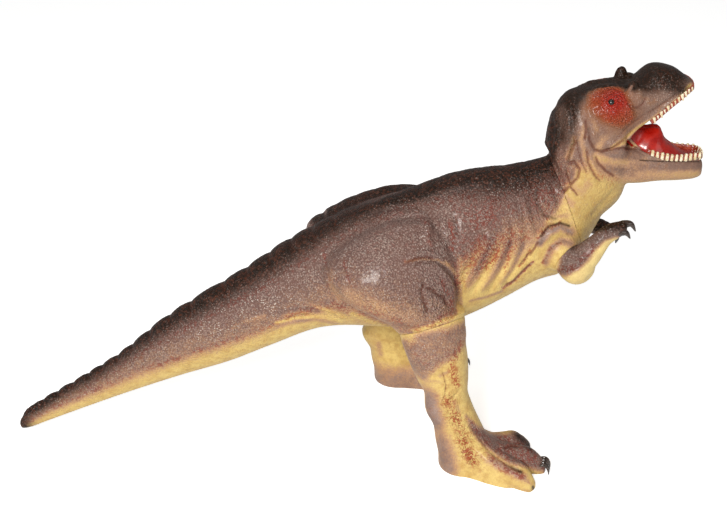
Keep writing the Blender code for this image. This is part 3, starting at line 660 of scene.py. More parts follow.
def skin_paint_group():
    """Painted vinyl: what colour it is, how shiny and how rough, from the marks on the skin."""
    t, given, out = group("Skin paint", "ShaderNodeTree", {"Cell Size": FLOAT, "Warm": FLOAT, "Pale": FLOAT},
                          {"Color": COLOUR, "Roughness": FLOAT, "Coat": FLOAT, "Height": FLOAT})
    warm = given["Warm"]
    where = t.add("ShaderNodeTexCoord").outputs["Object"]
    stir = t.add("ShaderNodeTexNoise", Vector=where, Scale=260.0, Detail=1.0)
    bent = t.add("ShaderNodeVectorMath", {"operation": "MULTIPLY_ADD"}, i0=stir.outputs["Color"],
                 i1=(0.0022, 0.0022, 0.0022), i2=where)
    pebbles = t.add("ShaderNodeTexVoronoi", Vector=bent, Scale=1.0 / given["Cell Size"])
    cell = t.wire(pebbles, "Distance")
    draws = t.add("ShaderNodeSeparateColor", Color=pebbles.outputs["Color"])
    chance, pick = t.wire(draws, 1), t.wire(draws, 2)
    grain = t.noise(where, 900.0, 2.0, 0.6)
    patches = t.noise(where, 38.0, 3.0, 0.6)
    wash = t.noise(where, 120.0, 3.0, 0.7)
    rough, gloss, patch = t.mark("pebble"), t.mark("gloss"), t.mark("patch")
    gap = t.ramp(cell, 0.30, 0.62) * rough
    # mauve, warmer in patches, with darker gaps between the pebbles
    mauve = t.mix(MAUVE, (t.ramp(patches, 0.35, 0.68), MAUVE_PALE), (warm * 0.80, UMBER),
                  (t.ramp(wash, 0.46, 0.72) * warm, RUSSET), (t.ramp(grain, 0.42, 0.62) * 0.30, MAUVE_DUSK),
                  (gap * 0.70, MAUVE_GAP))
    # yellow, reached over a tan half-tone. Warm darkens it towards olive; on the head that is partly its
    # deeper yellow and partly painted shade under the throat
    yellow = t.mix(YELLOW, (t.ramp(wash, 0.35, 0.70), YELLOW_DEEP), (warm * 0.64, OLIVE),
                   (given["Pale"], CREAM), (gap * 0.22, YELLOW_GAP))
    spray = (wash - 0.5) * 0.42 + (chance - 0.5) * 0.10 + (grain - 0.5) * 0.55
    ochre = t.mark("ochre") + spray
    body = t.mix(mauve, (t.ramp(ochre, 0.10, 0.58), t.mix(TAN, (gap * 0.35, TAN_GAP))),
                 (t.ramp(ochre, 0.42, 0.90), yellow))
    # red flecks
    few = t.mark("red") * t.ramp(patches, 0.30, 0.60, 0.45, 1.0)
    fleck = t.ramp(t.noise(where, 340.0, 2.0, 0.6, 0.8) + few * 0.18, 0.60, 0.68)
    rust = t.mix(RUST, (t.ramp(ochre, 0.2, 0.8), RUST_BRIGHT))
    # eye patch, with a brown edge
    ragged = (wash - 0.5) * 0.5
    orange = t.mix(ORANGE, (t.ramp(patch + ragged * 0.6, 0.45, 0.95), ORANGE_RED), (gap * 0.40, ORANGE_GAP))
    # dark back; the same mark also carries painted shade along some creases
    dark = t.ramp(t.mark("dark") + spray * 0.8, 0.02, 0.92)
    lit = t.ramp(pick, 0.50, 0.95) * t.ramp(rough, 0.2, 0.9, 0.30, 1.0)
    deep = t.mix(NEAR_BLACK, (lit, DARK_BROWN))
    # painted highlights: pale glints on the pebble tops, where the gloss mark is high
    painted_glints = t.ramp(cell, 0.42, 0.18) * t.ramp(pick, 0.32, 0.66) * gloss * t.ramp(wash, 0.42, 0.60, 0.05, 1.0)
    # painted shade in the creases, and in the notches between the scutes
    speckle = chance - 0.5 + (wash - 0.5) * 1.6
    groove = t.ramp(t.mark("groove") + speckle * 0.30, 0.25, 0.95) * (0.80 - dark * 0.55)
    crease_shade = t.mix(CREASE_SHADE_BROWN, (t.ramp(ochre, 0.3, 0.9), CREASE_SHADE_TAN))
    painted = t.mix(body, (fleck * (few * 0.90), rust), (t.ramp(patch, 0.0, 0.16) * 0.88, PATCH_TINT),
                    (t.ramp(patch + ragged, 0.15, 0.60), orange), (dark, deep),
                    (painted_glints * (0.80 - dark * 0.50), HIGHLIGHT_WHITE), (groove, crease_shade))
    dome = (1.0 - cell * 1.5) * (rough * t.ramp(patches, 0.30, 0.65, 0.5, 1.1))
    t.join(out, Color=painted, Roughness=t.ramp(grain, 0.30, 0.70, 0.30, 0.50),
           Coat=(gloss * 0.16 + 0.10) * (1.0 - dark * 0.75), Height=dome + wash * rough * 1.3 + grain * 0.22)
    return t.tree


def material(name):
    """A new material: itself, its tree, its shader and its output node."""
    made = bpy.data.materials.new(name)
    made.use_nodes = True
    made.node_tree.nodes.clear()
    t = Tree(made.node_tree)
    shader = t.add("ShaderNodeBsdfPrincipled")
    return made, t, shader, t.add("ShaderNodeOutputMaterial", Surface=shader)


def skin_material(name, cell, warm, pale=0.0):
    """Painted vinyl with pebbles of a size, more or less warm and pale."""
    made, t, shader, _ = material(name)
    paint = t.add("ShaderNodeGroup", {"node_tree": PAINT}, Cell_Size=cell, Warm=warm, Pale=pale)
    bump = t.add("ShaderNodeBump", Strength=1.0, Distance=0.0012, Height=paint.outputs["Height"])
    t.join(shader, Base_Color=paint.outputs["Color"], Roughness=paint.outputs["Roughness"], Normal=bump,
           Specular_IOR_Level=0.22, Coat_Weight=paint.outputs["Coat"], Coat_Roughness=0.19)
    return made


def plain_material(name, dark, light, scale, rough, coat=0.0, bump=0.0):
    """A finish of two close colours, clouded by noise."""
    made, t, shader, _ = material(name)
    cloud = t.noise(t.add("ShaderNodeTexCoord").outputs["Object"], scale, 3.0, 0.6)
    t.join(shader, Base_Color=t.mix(dark, (t.ramp(cloud, 0.35, 0.65), light)), Coat_Weight=coat,
           Roughness=t.ramp(cloud, 0.3, 0.7, rough * 0.8, rough * 1.2))
    if bump:
        t.join(shader, Normal=t.add("ShaderNodeBump", Strength=0.6, Distance=bump, Height=cloud))
    return made


RELIEF, ROW, PAINT = relief_group(), rows_group(), skin_paint_group()
SKIN = skin_material("painted_vinyl", cell=0.0019, warm=0.10)
SMOOTH = skin_material("painted_vinyl_head", cell=0.0018, warm=0.75)
PALER = skin_material("painted_vinyl_arm", cell=0.0019, warm=0.10, pale=0.42)
CLAW = plain_material("claw_lacquer", (0.018, 0.011, 0.008), (0.060, 0.036, 0.026), 220, rough=0.16, coat=0.6)
MOUTH_RED = plain_material("mouth_lacquer", (0.290, 0.004, 0.001), (0.430, 0.011, 0.003), 90,
                           rough=0.30, coat=0.16, bump=0.0004)
GUM = plain_material("gum_lacquer", (0.210, 0.022, 0.010), (0.360, 0.060, 0.025), 160,
                     rough=0.28, coat=0.4, bump=0.0006)
IVORY = plain_material("tooth_paint", (0.640, 0.500, 0.250), (0.880, 0.800, 0.620), 400, rough=0.25, coat=0.5)
BEAD = plain_material("eye_bead", (0.004, 0.004, 0.003), (0.020, 0.018, 0.012), 300, rough=0.12, coat=0.3)
PLUG = plain_material("plug_plastic", (0.620, 0.610, 0.570), (0.720, 0.710, 0.670), 60, rough=0.45)
FIBRE = plain_material("fibre", (0.700, 0.700, 0.680), (0.860, 0.860, 0.840), 800, rough=0.95, bump=0.001)


# Trunk, tail and thighs
def trunk_place(row):
    along, height = row[0], row[1]
    return np.array([(along - 0.5) * LENGTH, 0, height * HIP])


def thigh_tube(hand):
    centre, _ = leg_joint(hand)
    rings = []
    for forward, down, inward, deep, wide in smoothed(THIGH, 3):
        back = (1 - down) * SETBACK[hand]
        place = centre + np.array([back + forward * THIGH_D, -hand * inward * THIGH_W, (1 - down) * THIGH_H])
        rings.append(ring(place, X * deep * THIGH_D, Y * wide * THIGH_W, 56))
    return tube(rings + leg_collars(hand, (-0.006, 1.10), (0.002, 1.04)))


THIGH_CRACKS = (
    [(422.7, 279.5), (423.5, 286.1), (421.9, 292.7), (424.4, 302.7), (427.7, 309.3), (426.9, 315.9)],
    [(423.5, 286.1), (432.7, 289.4), (439.3, 296), (444.3, 296.9), (446.8, 302.7), (450.1, 307.6)])
FLANK_STROKES = [  # line in the picture, width in pixels, height in mm
    (THIGH_CRACKS[0], 1.5, -3.0), (THIGH_CRACKS[1], 1.5, -3.0),
    # front edge of the knee lobe, and the fold over it
    ([(409.5, 267.8), (422.7, 261.2), (436, 261.2), (445.9, 267.8), (454.2, 277.8), (458.5, 289.4),
      (458.5, 302.7), (456, 312)], 2.0, -2.6),
    ([(412, 272), (423, 266), (435, 266), (443, 272), (450, 281), (453, 291), (453, 302)], 3.0, 1.8),
    ([(406, 261), (416, 255), (427, 251), (435, 254), (441, 258)], 2.2, 1.8),
    ([(404, 263.5), (415, 259), (427, 257), (438, 259)], 1.6, -1.5),
    # shallow valley over the thigh
    ([(362, 214), (380, 208.5), (400, 206), (417, 208), (430, 214), (438, 226), (447, 240), (452, 254)],
     4.0, -2.0),
    ([(430, 226), (427, 236), (431, 246)], 3.0, 2.0),
    ([(436, 214), (444, 228), (448, 246)], 3.0, 1.6),
    ([(452, 212), (456, 228), (457, 244)], 2.4, -1.4),
    # folds from the flank to the belly
    ([(485, 232), (478, 250), (468, 268), (461, 281)], 2.4, -1.6),
    ([(491, 230), (484, 250), (474, 270), (464, 289)], 2.8, 2.2),
    ([(501, 243), (493, 260), (481, 281), (470, 296)], 2.6, -1.8),
    ([(507, 236), (501, 256), (491, 275), (478, 293)], 2.8, 2.2),
    ([(515, 236), (509, 256), (500, 276), (487, 296)], 2.4, -1.8),
    ([(521, 228), (516, 250), (508, 268), (498, 286)], 2.6, 1.8),
    ([(529, 228), (524, 250), (515, 270), (502, 290)], 2.2, -1.4),
    ([(533, 262), (522, 272.5), (513.5, 281.5), (503, 288)], 1.2, -1.4),
    ([(538.8, 240), (533, 250), (528, 258)], 1.4, -1.4),
    ([(530, 252), (526, 259), (519, 267)], 1.3, -1.6),
    ([(543, 232), (536, 246), (531, 256)], 2.2, 1.6),
    ([(455, 244), (462, 262), (459, 276)], 3.0, 1.4),
    # folds where the flank meets the shoulder and the neck
    ([(522, 194), (526, 214), (533, 236)], 2.4, 2.2),
    ([(517, 196), (520, 214), (526, 234)], 1.9, -1.6),
    ([(536, 190), (536, 204), (543, 215.5), (556, 219.5)], 2.0, -1.8),
    ([(541, 188), (542, 202), (549, 211), (558, 214)], 2.2, 1.4),
    ([(540, 236), (549, 226), (560, 224), (569, 228)], 2.2, -2.0),
    ([(543, 242), (551, 233), (560, 230), (569, 234)], 2.6, 2.4),
    ([(545, 256), (553, 244), (562, 238.5), (571, 241)], 2.0, -1.8),
    ([(548, 168), (551, 184), (556, 196)], 1.6, -1.2),
    ([(529, 172), (531, 186), (535, 196)], 2.0, -1.5),
    # folds between tail and thigh
    ([(327, 248), (324.5, 263), (328, 285), (340, 297), (352, 306)], 3.2, -2.0),
    ([(345, 252), (346, 272), (354, 292), (366, 310)], 3.0, -0.9),
    ([(284, 322), (300, 316.5), (316, 315), (332, 318)], 2.0, -1.8),
    ([(298, 309), (312, 311), (328, 314), (340, 320)], 2.0, -1.8),
    ([(306, 300), (318, 306), (332, 311), (346, 317)], 2.0, -1.6),
    ([(362, 320), (380, 322), (398, 328), (412, 331)], 2.0, -1.0),
]
# Edge lines of the paint: picture place, and how soft the edge is, in pixels
BACK_EDGE = (
    (20, 421, 7), (40, 412, 9), (60, 399, 11), (100, 377, 14), (140, 350, 16), (180, 326, 18),
    (220, 305, 20), (260, 283, 22), (300, 258, 22), (330, 238, 20), (360, 221, 20), (400, 206, 18),
    (450, 193, 22), (500, 194, 26), (530, 190, 24), (548, 182, 20),
)
BELLY_EDGE = (
    (0, 434, 6), (30, 422, 8), (51, 411, 10), (69.5, 403, 11), (106.6, 388, 13), (139, 375, 14),
    (185.4, 358, 14), (222.5, 346, 14), (259.6, 333, 14), (287.4, 320, 14), (310, 314, 18), (330, 309, 22),
    (355, 314, 24), (380, 322, 24), (408, 333, 22), (436, 331, 18), (456, 316, 14), (464, 288, 16),
    (491, 268, 20), (515, 252, 20), (533, 238, 18), (547, 222, 16), (556, 210, 14), (563, 196, 12),
    (571, 178, 12),
)


def past(uv, edge):
    """0 over an edge line and 1 below it, as soft as the line says there."""
    line = np.array(edge)
    low = uv[:, 1] - np.interp(uv[:, 0], line[:, 0], line[:, 1])
    return step_up(low / np.interp(uv[:, 0], line[:, 0], line[:, 2]), -1.1, 1.1)


def brushed(uv, base, strokes, facing=1.0):
    """Paint strokes over a mark: a line in the picture, its width, and how strong it is along the line."""
    for line, wide, *amounts in strokes:
        far, along = away(uv, line)
        amount = np.interp(along, np.linspace(0, 1, len(amounts)), amounts)
        base = base + (amount - base) * hump(far, 0, wide) * facing
    return base


# Paint strokes: line in the picture, width in pixels, and how strong the paint is along it
TRUNK_OCHRE = (
    ([(468, 268), (488, 256), (508, 244), (524, 236)], 13.0, 0.50, 0.50, 0.42),
    ([(484, 236), (478, 252), (468, 268), (461, 284)], 3.4, 0.20, 0.60, 0.85),
    ([(503, 243), (494, 260), (482, 280), (470, 298)], 4.2, 0.45, 0.90, 1.0),
    ([(517, 242), (510, 257), (501, 276), (488, 297)], 3.8, 0.45, 0.90, 1.0),
    ([(529, 240), (523, 256), (513, 272), (500, 292)], 3.6, 0.45, 0.90, 1.0),
    ([(459, 256), (463, 272), (463, 290), (460, 308)], 3.4, 0.3, 0.95, 1.0),
    ([(545, 250), (552, 238), (561, 232), (571, 236)], 3.2, 1.0),
    ([(540, 266), (548, 255), (556, 247)], 3.5, 0.95),
    ([(548, 222), (556, 216), (566, 216)], 2.6, 0.7),
    ([(300, 300), (318, 308), (336, 314), (352, 320)], 2.2, 0.2, 0.8, 0.8),
    ([(284, 316), (300, 313), (320, 316), (340, 321)], 2.4, 0.5, 0.9),
    ([(256, 318), (282, 311), (302, 308), (318, 311)], 2.4, 0.20, 0.15, 0.30),
    ([(268, 330), (292, 322), (316, 319), (338, 324)], 2.0, 0.60, 0.30, 0.60),
    ([(276, 323), (296, 317.5), (318, 317)], 1.5, 0.9),
    ([(214, 336), (240, 324), (264, 316)], 2.6, 0.15, 0.45),
    ([(405, 262), (420, 259), (438, 260), (448, 266)], 1.6, 0.4, 0.5),
    ([(331, 272), (331, 286), (340, 298)], 3.0, 0.30, 0.5),
    ([(350, 296), (368, 305), (390, 312), (412, 315)], 9.0, 0.46, 0.46, 0.36),
    ([(398, 337), (416, 331), (433, 326), (446, 319.5), (462, 316)], 2.4, 0.90),
    ([(446, 262), (456, 274), (461, 290), (461, 306)], 2.0, 0.5),
    ([(493, 236), (487, 252), (477, 270), (468, 284)], 3.0, 0.15, 0.22, 0.50),
    ([(510, 242), (503, 260), (493, 277), (483, 290)], 3.0, 0.20, 0.32, 0.62),
    ([(523, 244), (517, 260), (509, 273), (500, 284)], 2.4, 0.20, 0.40, 0.66),
    ([(546, 262), (552, 248), (561, 241), (571, 244)], 4.6, 0.35, 0.30, 0.45),
    ([(540, 243), (549, 232), (560, 227), (571, 232)], 4.2, 0.05, 0.20, 0.35),
    ([(470, 301), (486, 297), (503, 291)], 1.6, 0.4),
    ([(533, 262), (522, 272.5), (513.5, 281.5), (503, 288)], 1.6, 0.35),
    ([(388, 327), (400, 331), (412, 333)], 2.5, 0.35),
    ([(352, 314), (372, 322), (396, 332)], 2.2, 0.9),
)
# Painted shade along the creases and folds of the flank, brushed into the dark mark
TRUNK_CREASE_SHADE = (
    (THIGH_CRACKS[0], 1.3, 0.30, 0.35, 0.20), (THIGH_CRACKS[1], 1.3, 0.30, 0.35, 0.20),
    ([(373, 213), (393, 208), (414, 207), (428, 215), (434, 226)], 2.6, 0.55, 0.35),
    ([(541, 236), (549, 226.5), (560, 223), (569, 226)], 1.8, 0.7, 0.75),
    ([(536, 190), (537, 204), (544, 215.5), (556, 219)], 1.8, 0.6, 0.55),
    ([(547, 176), (552, 192), (558, 204)], 2.5, 0.6, 0.3),
    ([(410, 268), (423, 262), (436, 262), (446, 268), (454, 278), (458, 290)], 1.5, 0.15, 0.4, 0.35),
    ([(420, 253), (428, 249.5), (436, 253), (441, 259)], 1.2, 0.35),
    ([(543, 262), (551, 247), (560, 242)], 1.6, 0.35),
    ([(518, 196), (521, 214), (528, 238)], 1.6, 0.30, 0.50, 0.15),
    ([(527, 192), (530, 210), (536, 236)], 1.6, 0.45, 0.50, 0.10),
    ([(507, 212), (510, 228), (508, 246)], 1.8, 0.20, 0.42, 0.15),
    ([(549, 186), (554, 198), (557, 210)], 1.4, 0.50, 0.40),
    ([(497, 232), (494, 250), (484, 270)], 1.6, 0.10, 0.30, 0.15),
    ([(453, 212), (456, 228), (458, 244)], 2.2, 0.25, 0.40, 0.20),
)
TRUNK_GLOSS = (  # picture place, and how far the shine reaches each way; the shine sets the coat and where painted highlights go
    (335, 255, 40, 34), (425, 235, 12, 18), (445, 245, 10, 12), (265, 305, 44, 18), (380, 205, 70, 12),
    (500, 185, 50, 12), (210, 330, 40, 14), (60, 405, 40, 10),
)
TRUNK_RED = (
    ([(513, 222), (511, 240), (507, 262)], 3.0, 1.0), ([(521, 205), (520, 222), (524, 240)], 2.4, 0.9),
    ([(496, 215), (499, 236), (494, 252)], 3.5, 0.9),
    ([(455, 262), (457, 284), (453, 308), (440, 318)], 3.0, 1.0),
    ([(415, 210), (428, 226), (430, 246)], 2.6, 1.0), ([(450, 224), (453, 236), (452, 250)], 2.4, 1.0),
    ([(324, 254), (328, 286)], 2.4, 0.9), ([(344, 262), (352, 290)], 2.2, 0.8),
    ([(474, 240), (470, 262)], 2.5, 0.8), ([(538, 238), (549, 227), (560, 224)], 3.0, 1.0),
    ([(542, 264), (551, 248), (560, 243)], 2.6, 1.0), ([(404, 262), (412, 259)], 2.0, 1.0),
    ([(485, 262), (478, 280)], 2.2, 0.9), ([(508, 260), (505, 272)], 2.4, 1.0),
    ([(533, 262), (513, 282), (503, 288)], 1.8, 1.0), ([(440, 280), (451, 296), (453, 306)], 3.5, 0.9),
    ([(509, 244), (507, 256), (505, 268)], 1.8, 1.0), ([(499, 250), (492, 262), (484, 270)], 1.8, 1.0),
    ([(530, 250), (526, 258), (519, 267)], 1.6, 1.0),
)


def on_middle(uv):
    """The place on the figure's middle plane that is seen at a point of the picture."""
    uv = np.array(uv, float)
    ray = ((uv[:, :1] - WIDE_PX / 2) * CAM_RIGHT - (uv[:, 1:] - HIGH_PX / 2) * CAM_UP) / FOCAL - CAM_BACK
    return CAM - ray * (CAM[1] / ray[:, 1:2])


# Notches between the scutes along the back, as they are seen
NOTCHES = (
    (30, 410), (43, 401), (57, 392), (72, 383), (88, 374), (101, 366), (116, 355), (131, 345), (149, 333),
    (170, 318), (190, 305), (222, 282), (246, 270), (267, 253), (289, 240), (311, 228), (332, 216),
    (354, 205), (375, 198), (396, 190), (417, 183), (439, 177), (461, 172), (483, 168), (505, 165),
    (527, 163),
)


def spine_level(points, centre, lean):
    """How far forward a ring of the trunk that goes through each point crosses the trunk's middle line."""
    x = points[:, 0]
    over = points[:, 2] - np.interp(x, centre[:, 0], centre[:, 2])
    return x + over * np.tan(np.interp(x, centre[:, 0], lean))


def trunk_form(rows, centre):
    """The trunk's skin, with its folds and with flat seats for the arms and legs."""
    places = centre.copy()
    places[0] += X * TIP_IN
    rings = [leaning(place, r[3] * BROAD, r[2] * TALL, r[4]) for place, r in zip(places, rows)]
    tubes = [tube(rings + neck_collars(-0.004, 0.004))]
    for hand in (RIGHT, LEFT):
        tubes.append(thigh_tube(hand))
        shoulder, axis = arm_joint(hand)
        tubes.append(ball(shoulder - axis * ELBOW_OUT, ELBOW_R + SHOULDER_WALL))
    skin = Skin(one_skin(gathered("trunk_skin", tubes), 0.00167))
    x, _, z = skin.P.T
    behind_thigh = (1 - step_up(x, 0.02, 0.07)) * step_up(x, -0.13, -0.07) * step_up(z, 0.10, 0.13)
    skin.relax(5)
    skin.relax(70, behind_thigh)
    skin.press(FLANK_STROKES)
    skin.relax(1)
    for hand in (RIGHT, LEFT):
        skin.P = flattened(skin.P, *leg_joint(hand), -HALF_GAP, LEG_SEAT)
        skin.P = flattened(skin.P, *arm_joint(hand), -HALF_GAP, ARM_SEAT)
    skin.P[:, 2] = np.maximum(skin.P[:, 2], OVER_FLOOR)
    return skin


def make_trunk():
    rows = smoothed(TRUNK, 5)
    centre = np.array([trunk_place(r) for r in rows])
    lean = np.radians(rows[:, 4])
    skin = trunk_form(rows, centre)
    uv, facing = skin.view()
    p, n = skin.P, skin.normals()
    # place along the spine, and height over it as a share of the form's own half height
    level = spine_level(p, centre, lean)

    def there(values):
        return np.interp(level, centre[:, 0], values)
    half_height = there(rows[:, 2] * TALL) * np.cos(there(lean))
    rise = np.clip((p[:, 2] - there(centre[:, 2])) / half_height, -1.2, 1.2)
    along = there(np.concatenate([[0], np.cumsum(np.linalg.norm(np.diff(centre, axis=0), axis=1))]))
    tail = 1 - step_up(along, 0.36, 0.46)
    dark = np.maximum.reduce([
        1 - past(uv, BACK_EDGE), step_up(rise, 0.86, 1.0) * (n[:, 2] > 0),
        step_up(n[:, 2], 0.55, 0.85) * (p[:, 1] > 0.03) * (p[:, 2] > 0.20),
        (1 - step_up(p[:, 0], -0.345, -0.325)) * 0.8])
    belly = past(uv, BELLY_EDGE)
    half_tone = 0.38 * past(uv, [(u, v - 1.5 * soft, 2.2 * soft) for u, v, soft in BELLY_EDGE])
    under = step_up(-rise, 0.62, 0.90) * step_up(-n[:, 2], 0.2, 0.6)
    inner = step_up(0.048 - np.abs(p[:, 1]), 0.0, 0.02) * (p[:, 2] < 0.155) * (p[:, 0] > 0.0)
    ochre = brushed(uv, np.maximum.reduce([belly, half_tone, under, inner]), TRUNK_OCHRE, facing)
    skin.paint("ochre", ochre * (1 - 0.25 * at_neck(p)))
    skin.paint("dark", brushed(uv, dark, TRUNK_CREASE_SHADE, facing))
    red = np.maximum.reduce([hump(belly, 0.35, 0.25) * 0.8, hump(dark, 0.35, 0.3) * 0.7, 0.30 * (1 - belly),
                             step_up(uv[:, 0], 420, 480) * (1 - belly) * 0.8])
    skin.paint("red", brushed(uv, red, TRUNK_RED))
    # shine: more clear coat, and painted highlights gathered in spots
    gloss = 0.36 + 0.64 * np.maximum.reduce([spot(uv, *place) for place in TRUNK_GLOSS])
    skin.paint("gloss", gloss * (1 - 0.9 * belly))
    skin.paint("pebble", 0.30 + 0.70 * (1 - belly))
    phase = np.interp(level, spine_level(on_middle(NOTCHES), centre, lean), np.arange(len(NOTCHES)))
    skin.mark("phase", phase)
    skin.mark("crest", step_up(rise, 0.66, 0.97) * (0.22 + 0.78 * tail) * step_up(along, 0.012, 0.05)
              * (n[:, 2] > -0.2))
    # painted shade in the notches between the scutes
    notch = hump(phase, np.round(phase), 0.10) * step_up(rise, 0.60, 0.95) * (0.4 + 0.6 * tail)
    skin.mark("groove", notch * 0.7)
    made = raised(skin, SKIN, size=0.0034, height=0.0005, scute=0.0030)
    cut_clean(made, NECK, NECK_AXIS)
    return made


def finish_piece(made, body, node, paint):
    """Gives a piece its material, and says what it rides on, which node it replaces."""
    made.data.materials.clear()
    made.data.materials.append(paint)
    made.data.shade_smooth()
    made.name = made.data.name = f"{node}_looks" if node else made.name
    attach(made, body)
    if node:
        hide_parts(node)


# Head
def mouth_at(forward, up):
    return np.array([MOUTH[0] + forward * MOUTH_L, 0, MOUTH[2] + up * MOUTH_H])


def mouth_tube():
    """The open space between the jaws."""
    line = np.array([mouth_at(*s) for s in ((0, 0), *FLOOR_OF_MOUTH, *reversed(PALATE))])
    count = len(line)
    faces = [list(range(count)), [count + i for i in range(count)][::-1]]
    faces += [[i, count + i, count + (i + 1) % count, (i + 1) % count] for i in range(count)]
    return np.vstack([line - Y * MOUTH_REACH, line + Y * MOUTH_REACH]), faces


HEAD_STROKES = [
    # brow, from behind the eye patch to the near horn
    ([(589, 92), (597, 88.5), (606, 86.5), (616, 87), (624, 88), (630, 85)], 3.0, 2.4),
    ([(634, 84), (637, 90), (636, 98)], 2.6, -1.8),
    ([(590, 96), (587, 104), (589, 114), (594, 122)], 2.2, 1.2),
    # bulge before the eye, with its crease
    ([(637, 92), (639, 100)], 5.0, 1.8),
    ([(631, 105), (638, 107.5), (644, 103), (646, 96)], 1.3, -1.2),
    ([(627, 102), (631, 108), (636, 112)], 1.4, -1.0),
    # swell of the snout
    ([(658, 84), (668, 88), (674, 96)], 7.0, 1.6),
    # lip edges
    ([(688.4, 86), (680.6, 96), (665, 108), (650.7, 117.5), (639, 125), (630, 133)], 1.6, 1.2),
    ([(684, 90), (672, 98), (657, 108), (643, 116), (632, 124), (624, 131)], 1.5, -0.9),
    ([(596, 152.5), (607, 150), (620, 148.5), (634, 147.7), (645, 150.5), (655, 155), (672, 160),
      (698, 160.5)], 1.3, -1.5),
    ([(600, 156), (618, 153), (634, 153), (648, 157), (668, 164), (696, 165)], 2.4, 1.1),
    # fold round the corner of the mouth
    ([(588, 128), (589.5, 141), (594.7, 150), (602.5, 152), (612.9, 148.1), (623.3, 141), (630, 134)], 1.5,
     -1.7),
    ([(593, 130), (595, 140), (600, 146), (608, 146), (618, 140)], 3.0, 1.6),
    ([(634, 122), (627, 128), (620, 136), (612, 143)], 1.3, -0.9),
    # cheek and jaw folds
    ([(595, 154), (598, 163), (606, 171), (617, 178)], 1.6, -1.4),
    ([(590, 150), (592, 164), (599, 175), (606, 182)], 2.2, 1.3),
    ([(586, 146), (588, 162), (595, 176), (603, 184)], 1.5, -1.4),
    ([(580, 142), (583, 158), (589, 172), (597, 183)], 2.2, 1.2),
    ([(576, 138), (578, 152), (583, 166), (589, 176)], 1.5, -1.2),
    ([(606, 160), (618, 164), (628, 170), (640, 174)], 2.0, -0.6),
    # cracks of the throat
    ([(563.4, 165.7), (573.9, 161.8), (579.7, 169.6), (577.8, 178.7), (570, 185.2), (566, 176), (563, 168)],
     1.6, -2.2),
    ([(571, 166), (572, 175)], 4.0, 1.2),
    ([(570, 185.2), (561, 195), (559.5, 202.1)], 1.6, -2.2),
    ([(568, 186), (574, 191), (579, 196.9)], 1.4, -1.8),
    ([(574.5, 133.1), (575, 143), (570, 153), (566, 162)], 1.5, -2.0),
    # long folds down the back of the neck
    ([(559.5, 108), (561.5, 127.9), (560, 143), (563.4, 157.9)], 2.4, -1.0),
    ([(566, 106), (568, 124), (567, 140), (569, 152)], 3.0, 1.2),
    ([(571, 104), (573, 120), (574, 133)], 2.0, -0.8),
    ([(553, 118), (553, 134), (551, 150), (553, 164)], 2.2, -0.9),
    ([(556, 112), (557, 130), (555, 148), (558, 162)], 2.8, 0.9),
    ([(548, 132), (547, 148), (548, 160)], 2.0, -0.8),
    ([(580, 98), (580, 112), (582, 126)], 2.2, -0.6),
    ([(546, 172), (552, 180), (558, 190)], 1.5, -2.0),
    ([(543, 160), (549, 172), (556, 184)], 2.0, 1.0),
    ([(585, 118), (586, 132), (584, 142)], 1.4, -1.8),
    # hanging edge of the throat
    ([(618, 188), (609, 197), (600, 207), (590, 219)], 3.0, -1.2),
]
# Outlines and edge lines of the head's paint
NAPE = (
    (530, 192), (548, 178), (556, 156), (562, 143), (572, 133), (578, 119), (581, 104), (587, 96),
    (596, 90), (613, 88), (628, 88), (636, 88), (645, 93), (656, 93), (668, 90), (680, 84), (690, 78),
    (705, 72), (705, 40), (530, 40),
)
THROAT_EDGE = (
    (540, 222, 14), (556, 208, 14), (562, 196, 14), (568, 178, 14), (576, 166, 14), (588, 166, 16),
    (600, 172, 16), (612, 177, 12), (626, 176, 12), (650, 173, 12), (680, 173, 12), (705, 170, 12),
)
EYE_SEEN = (611.3, 102.6)
JAW_SIDE = ((627, 152), (627, 160), (628, 170))
PATCH = (
    (589, 95), (598, 88), (610, 86), (619, 87), (626, 92), (629, 100), (633, 109), (635, 117), (631, 123),
    (621, 127.5), (612, 125.5), (602, 122), (594, 115), (588, 106),
)
HEAD_OCHRE = (
    ([(690, 85), (679, 98), (665, 111), (650, 121), (639, 127), (631, 133), (622, 141), (612, 148)], 1.9,
     0.95, 0.9, 0.85),
    ([(610, 134), (603, 140), (599, 147)], 4.5, 0.30, 0.55),
    ([(574, 138), (571, 150), (568, 158)], 3.0, 0.6),
    ([(596, 157), (612, 162), (630, 163), (652, 166)], 5.0, 0.66, 0.42),
    ([(584, 126), (581, 140), (585, 156), (594, 170)], 3.0, 0.35, 0.7), ([(590, 93), (590, 98)], 3.0, 0.55),
    ([(640, 174.5), (672, 174.5), (697, 174.5)], 4.5, 0.48, 0.66),
    ([(616, 146), (626, 142), (634, 146)], 3.0, 0.7),
    ([(616, 150), (632, 151), (646, 154), (660, 161)], 2.2, 0.0, 0.25),
    ([(612, 155), (632, 156), (650, 161)], 2.2, 0.05, 0.3),
    ([(632, 166), (664, 165.5), (699, 165.5)], 3.6, 0.28, 0.06, 0.08),
    ([(560, 196), (566, 200), (572, 204)], 5.0, 0.50), ([(574, 188), (582, 192), (588, 184)], 6.0, 0.62),
    ([(571, 166), (571, 178)], 5.0, 0.20), ([(557, 178), (562, 186), (559, 196)], 4.0, 0.15),
    ([(604, 124), (612, 131), (624, 132)], 3.0, 0.25), ([(593, 120), (597, 130)], 3.0, 0.4),
)
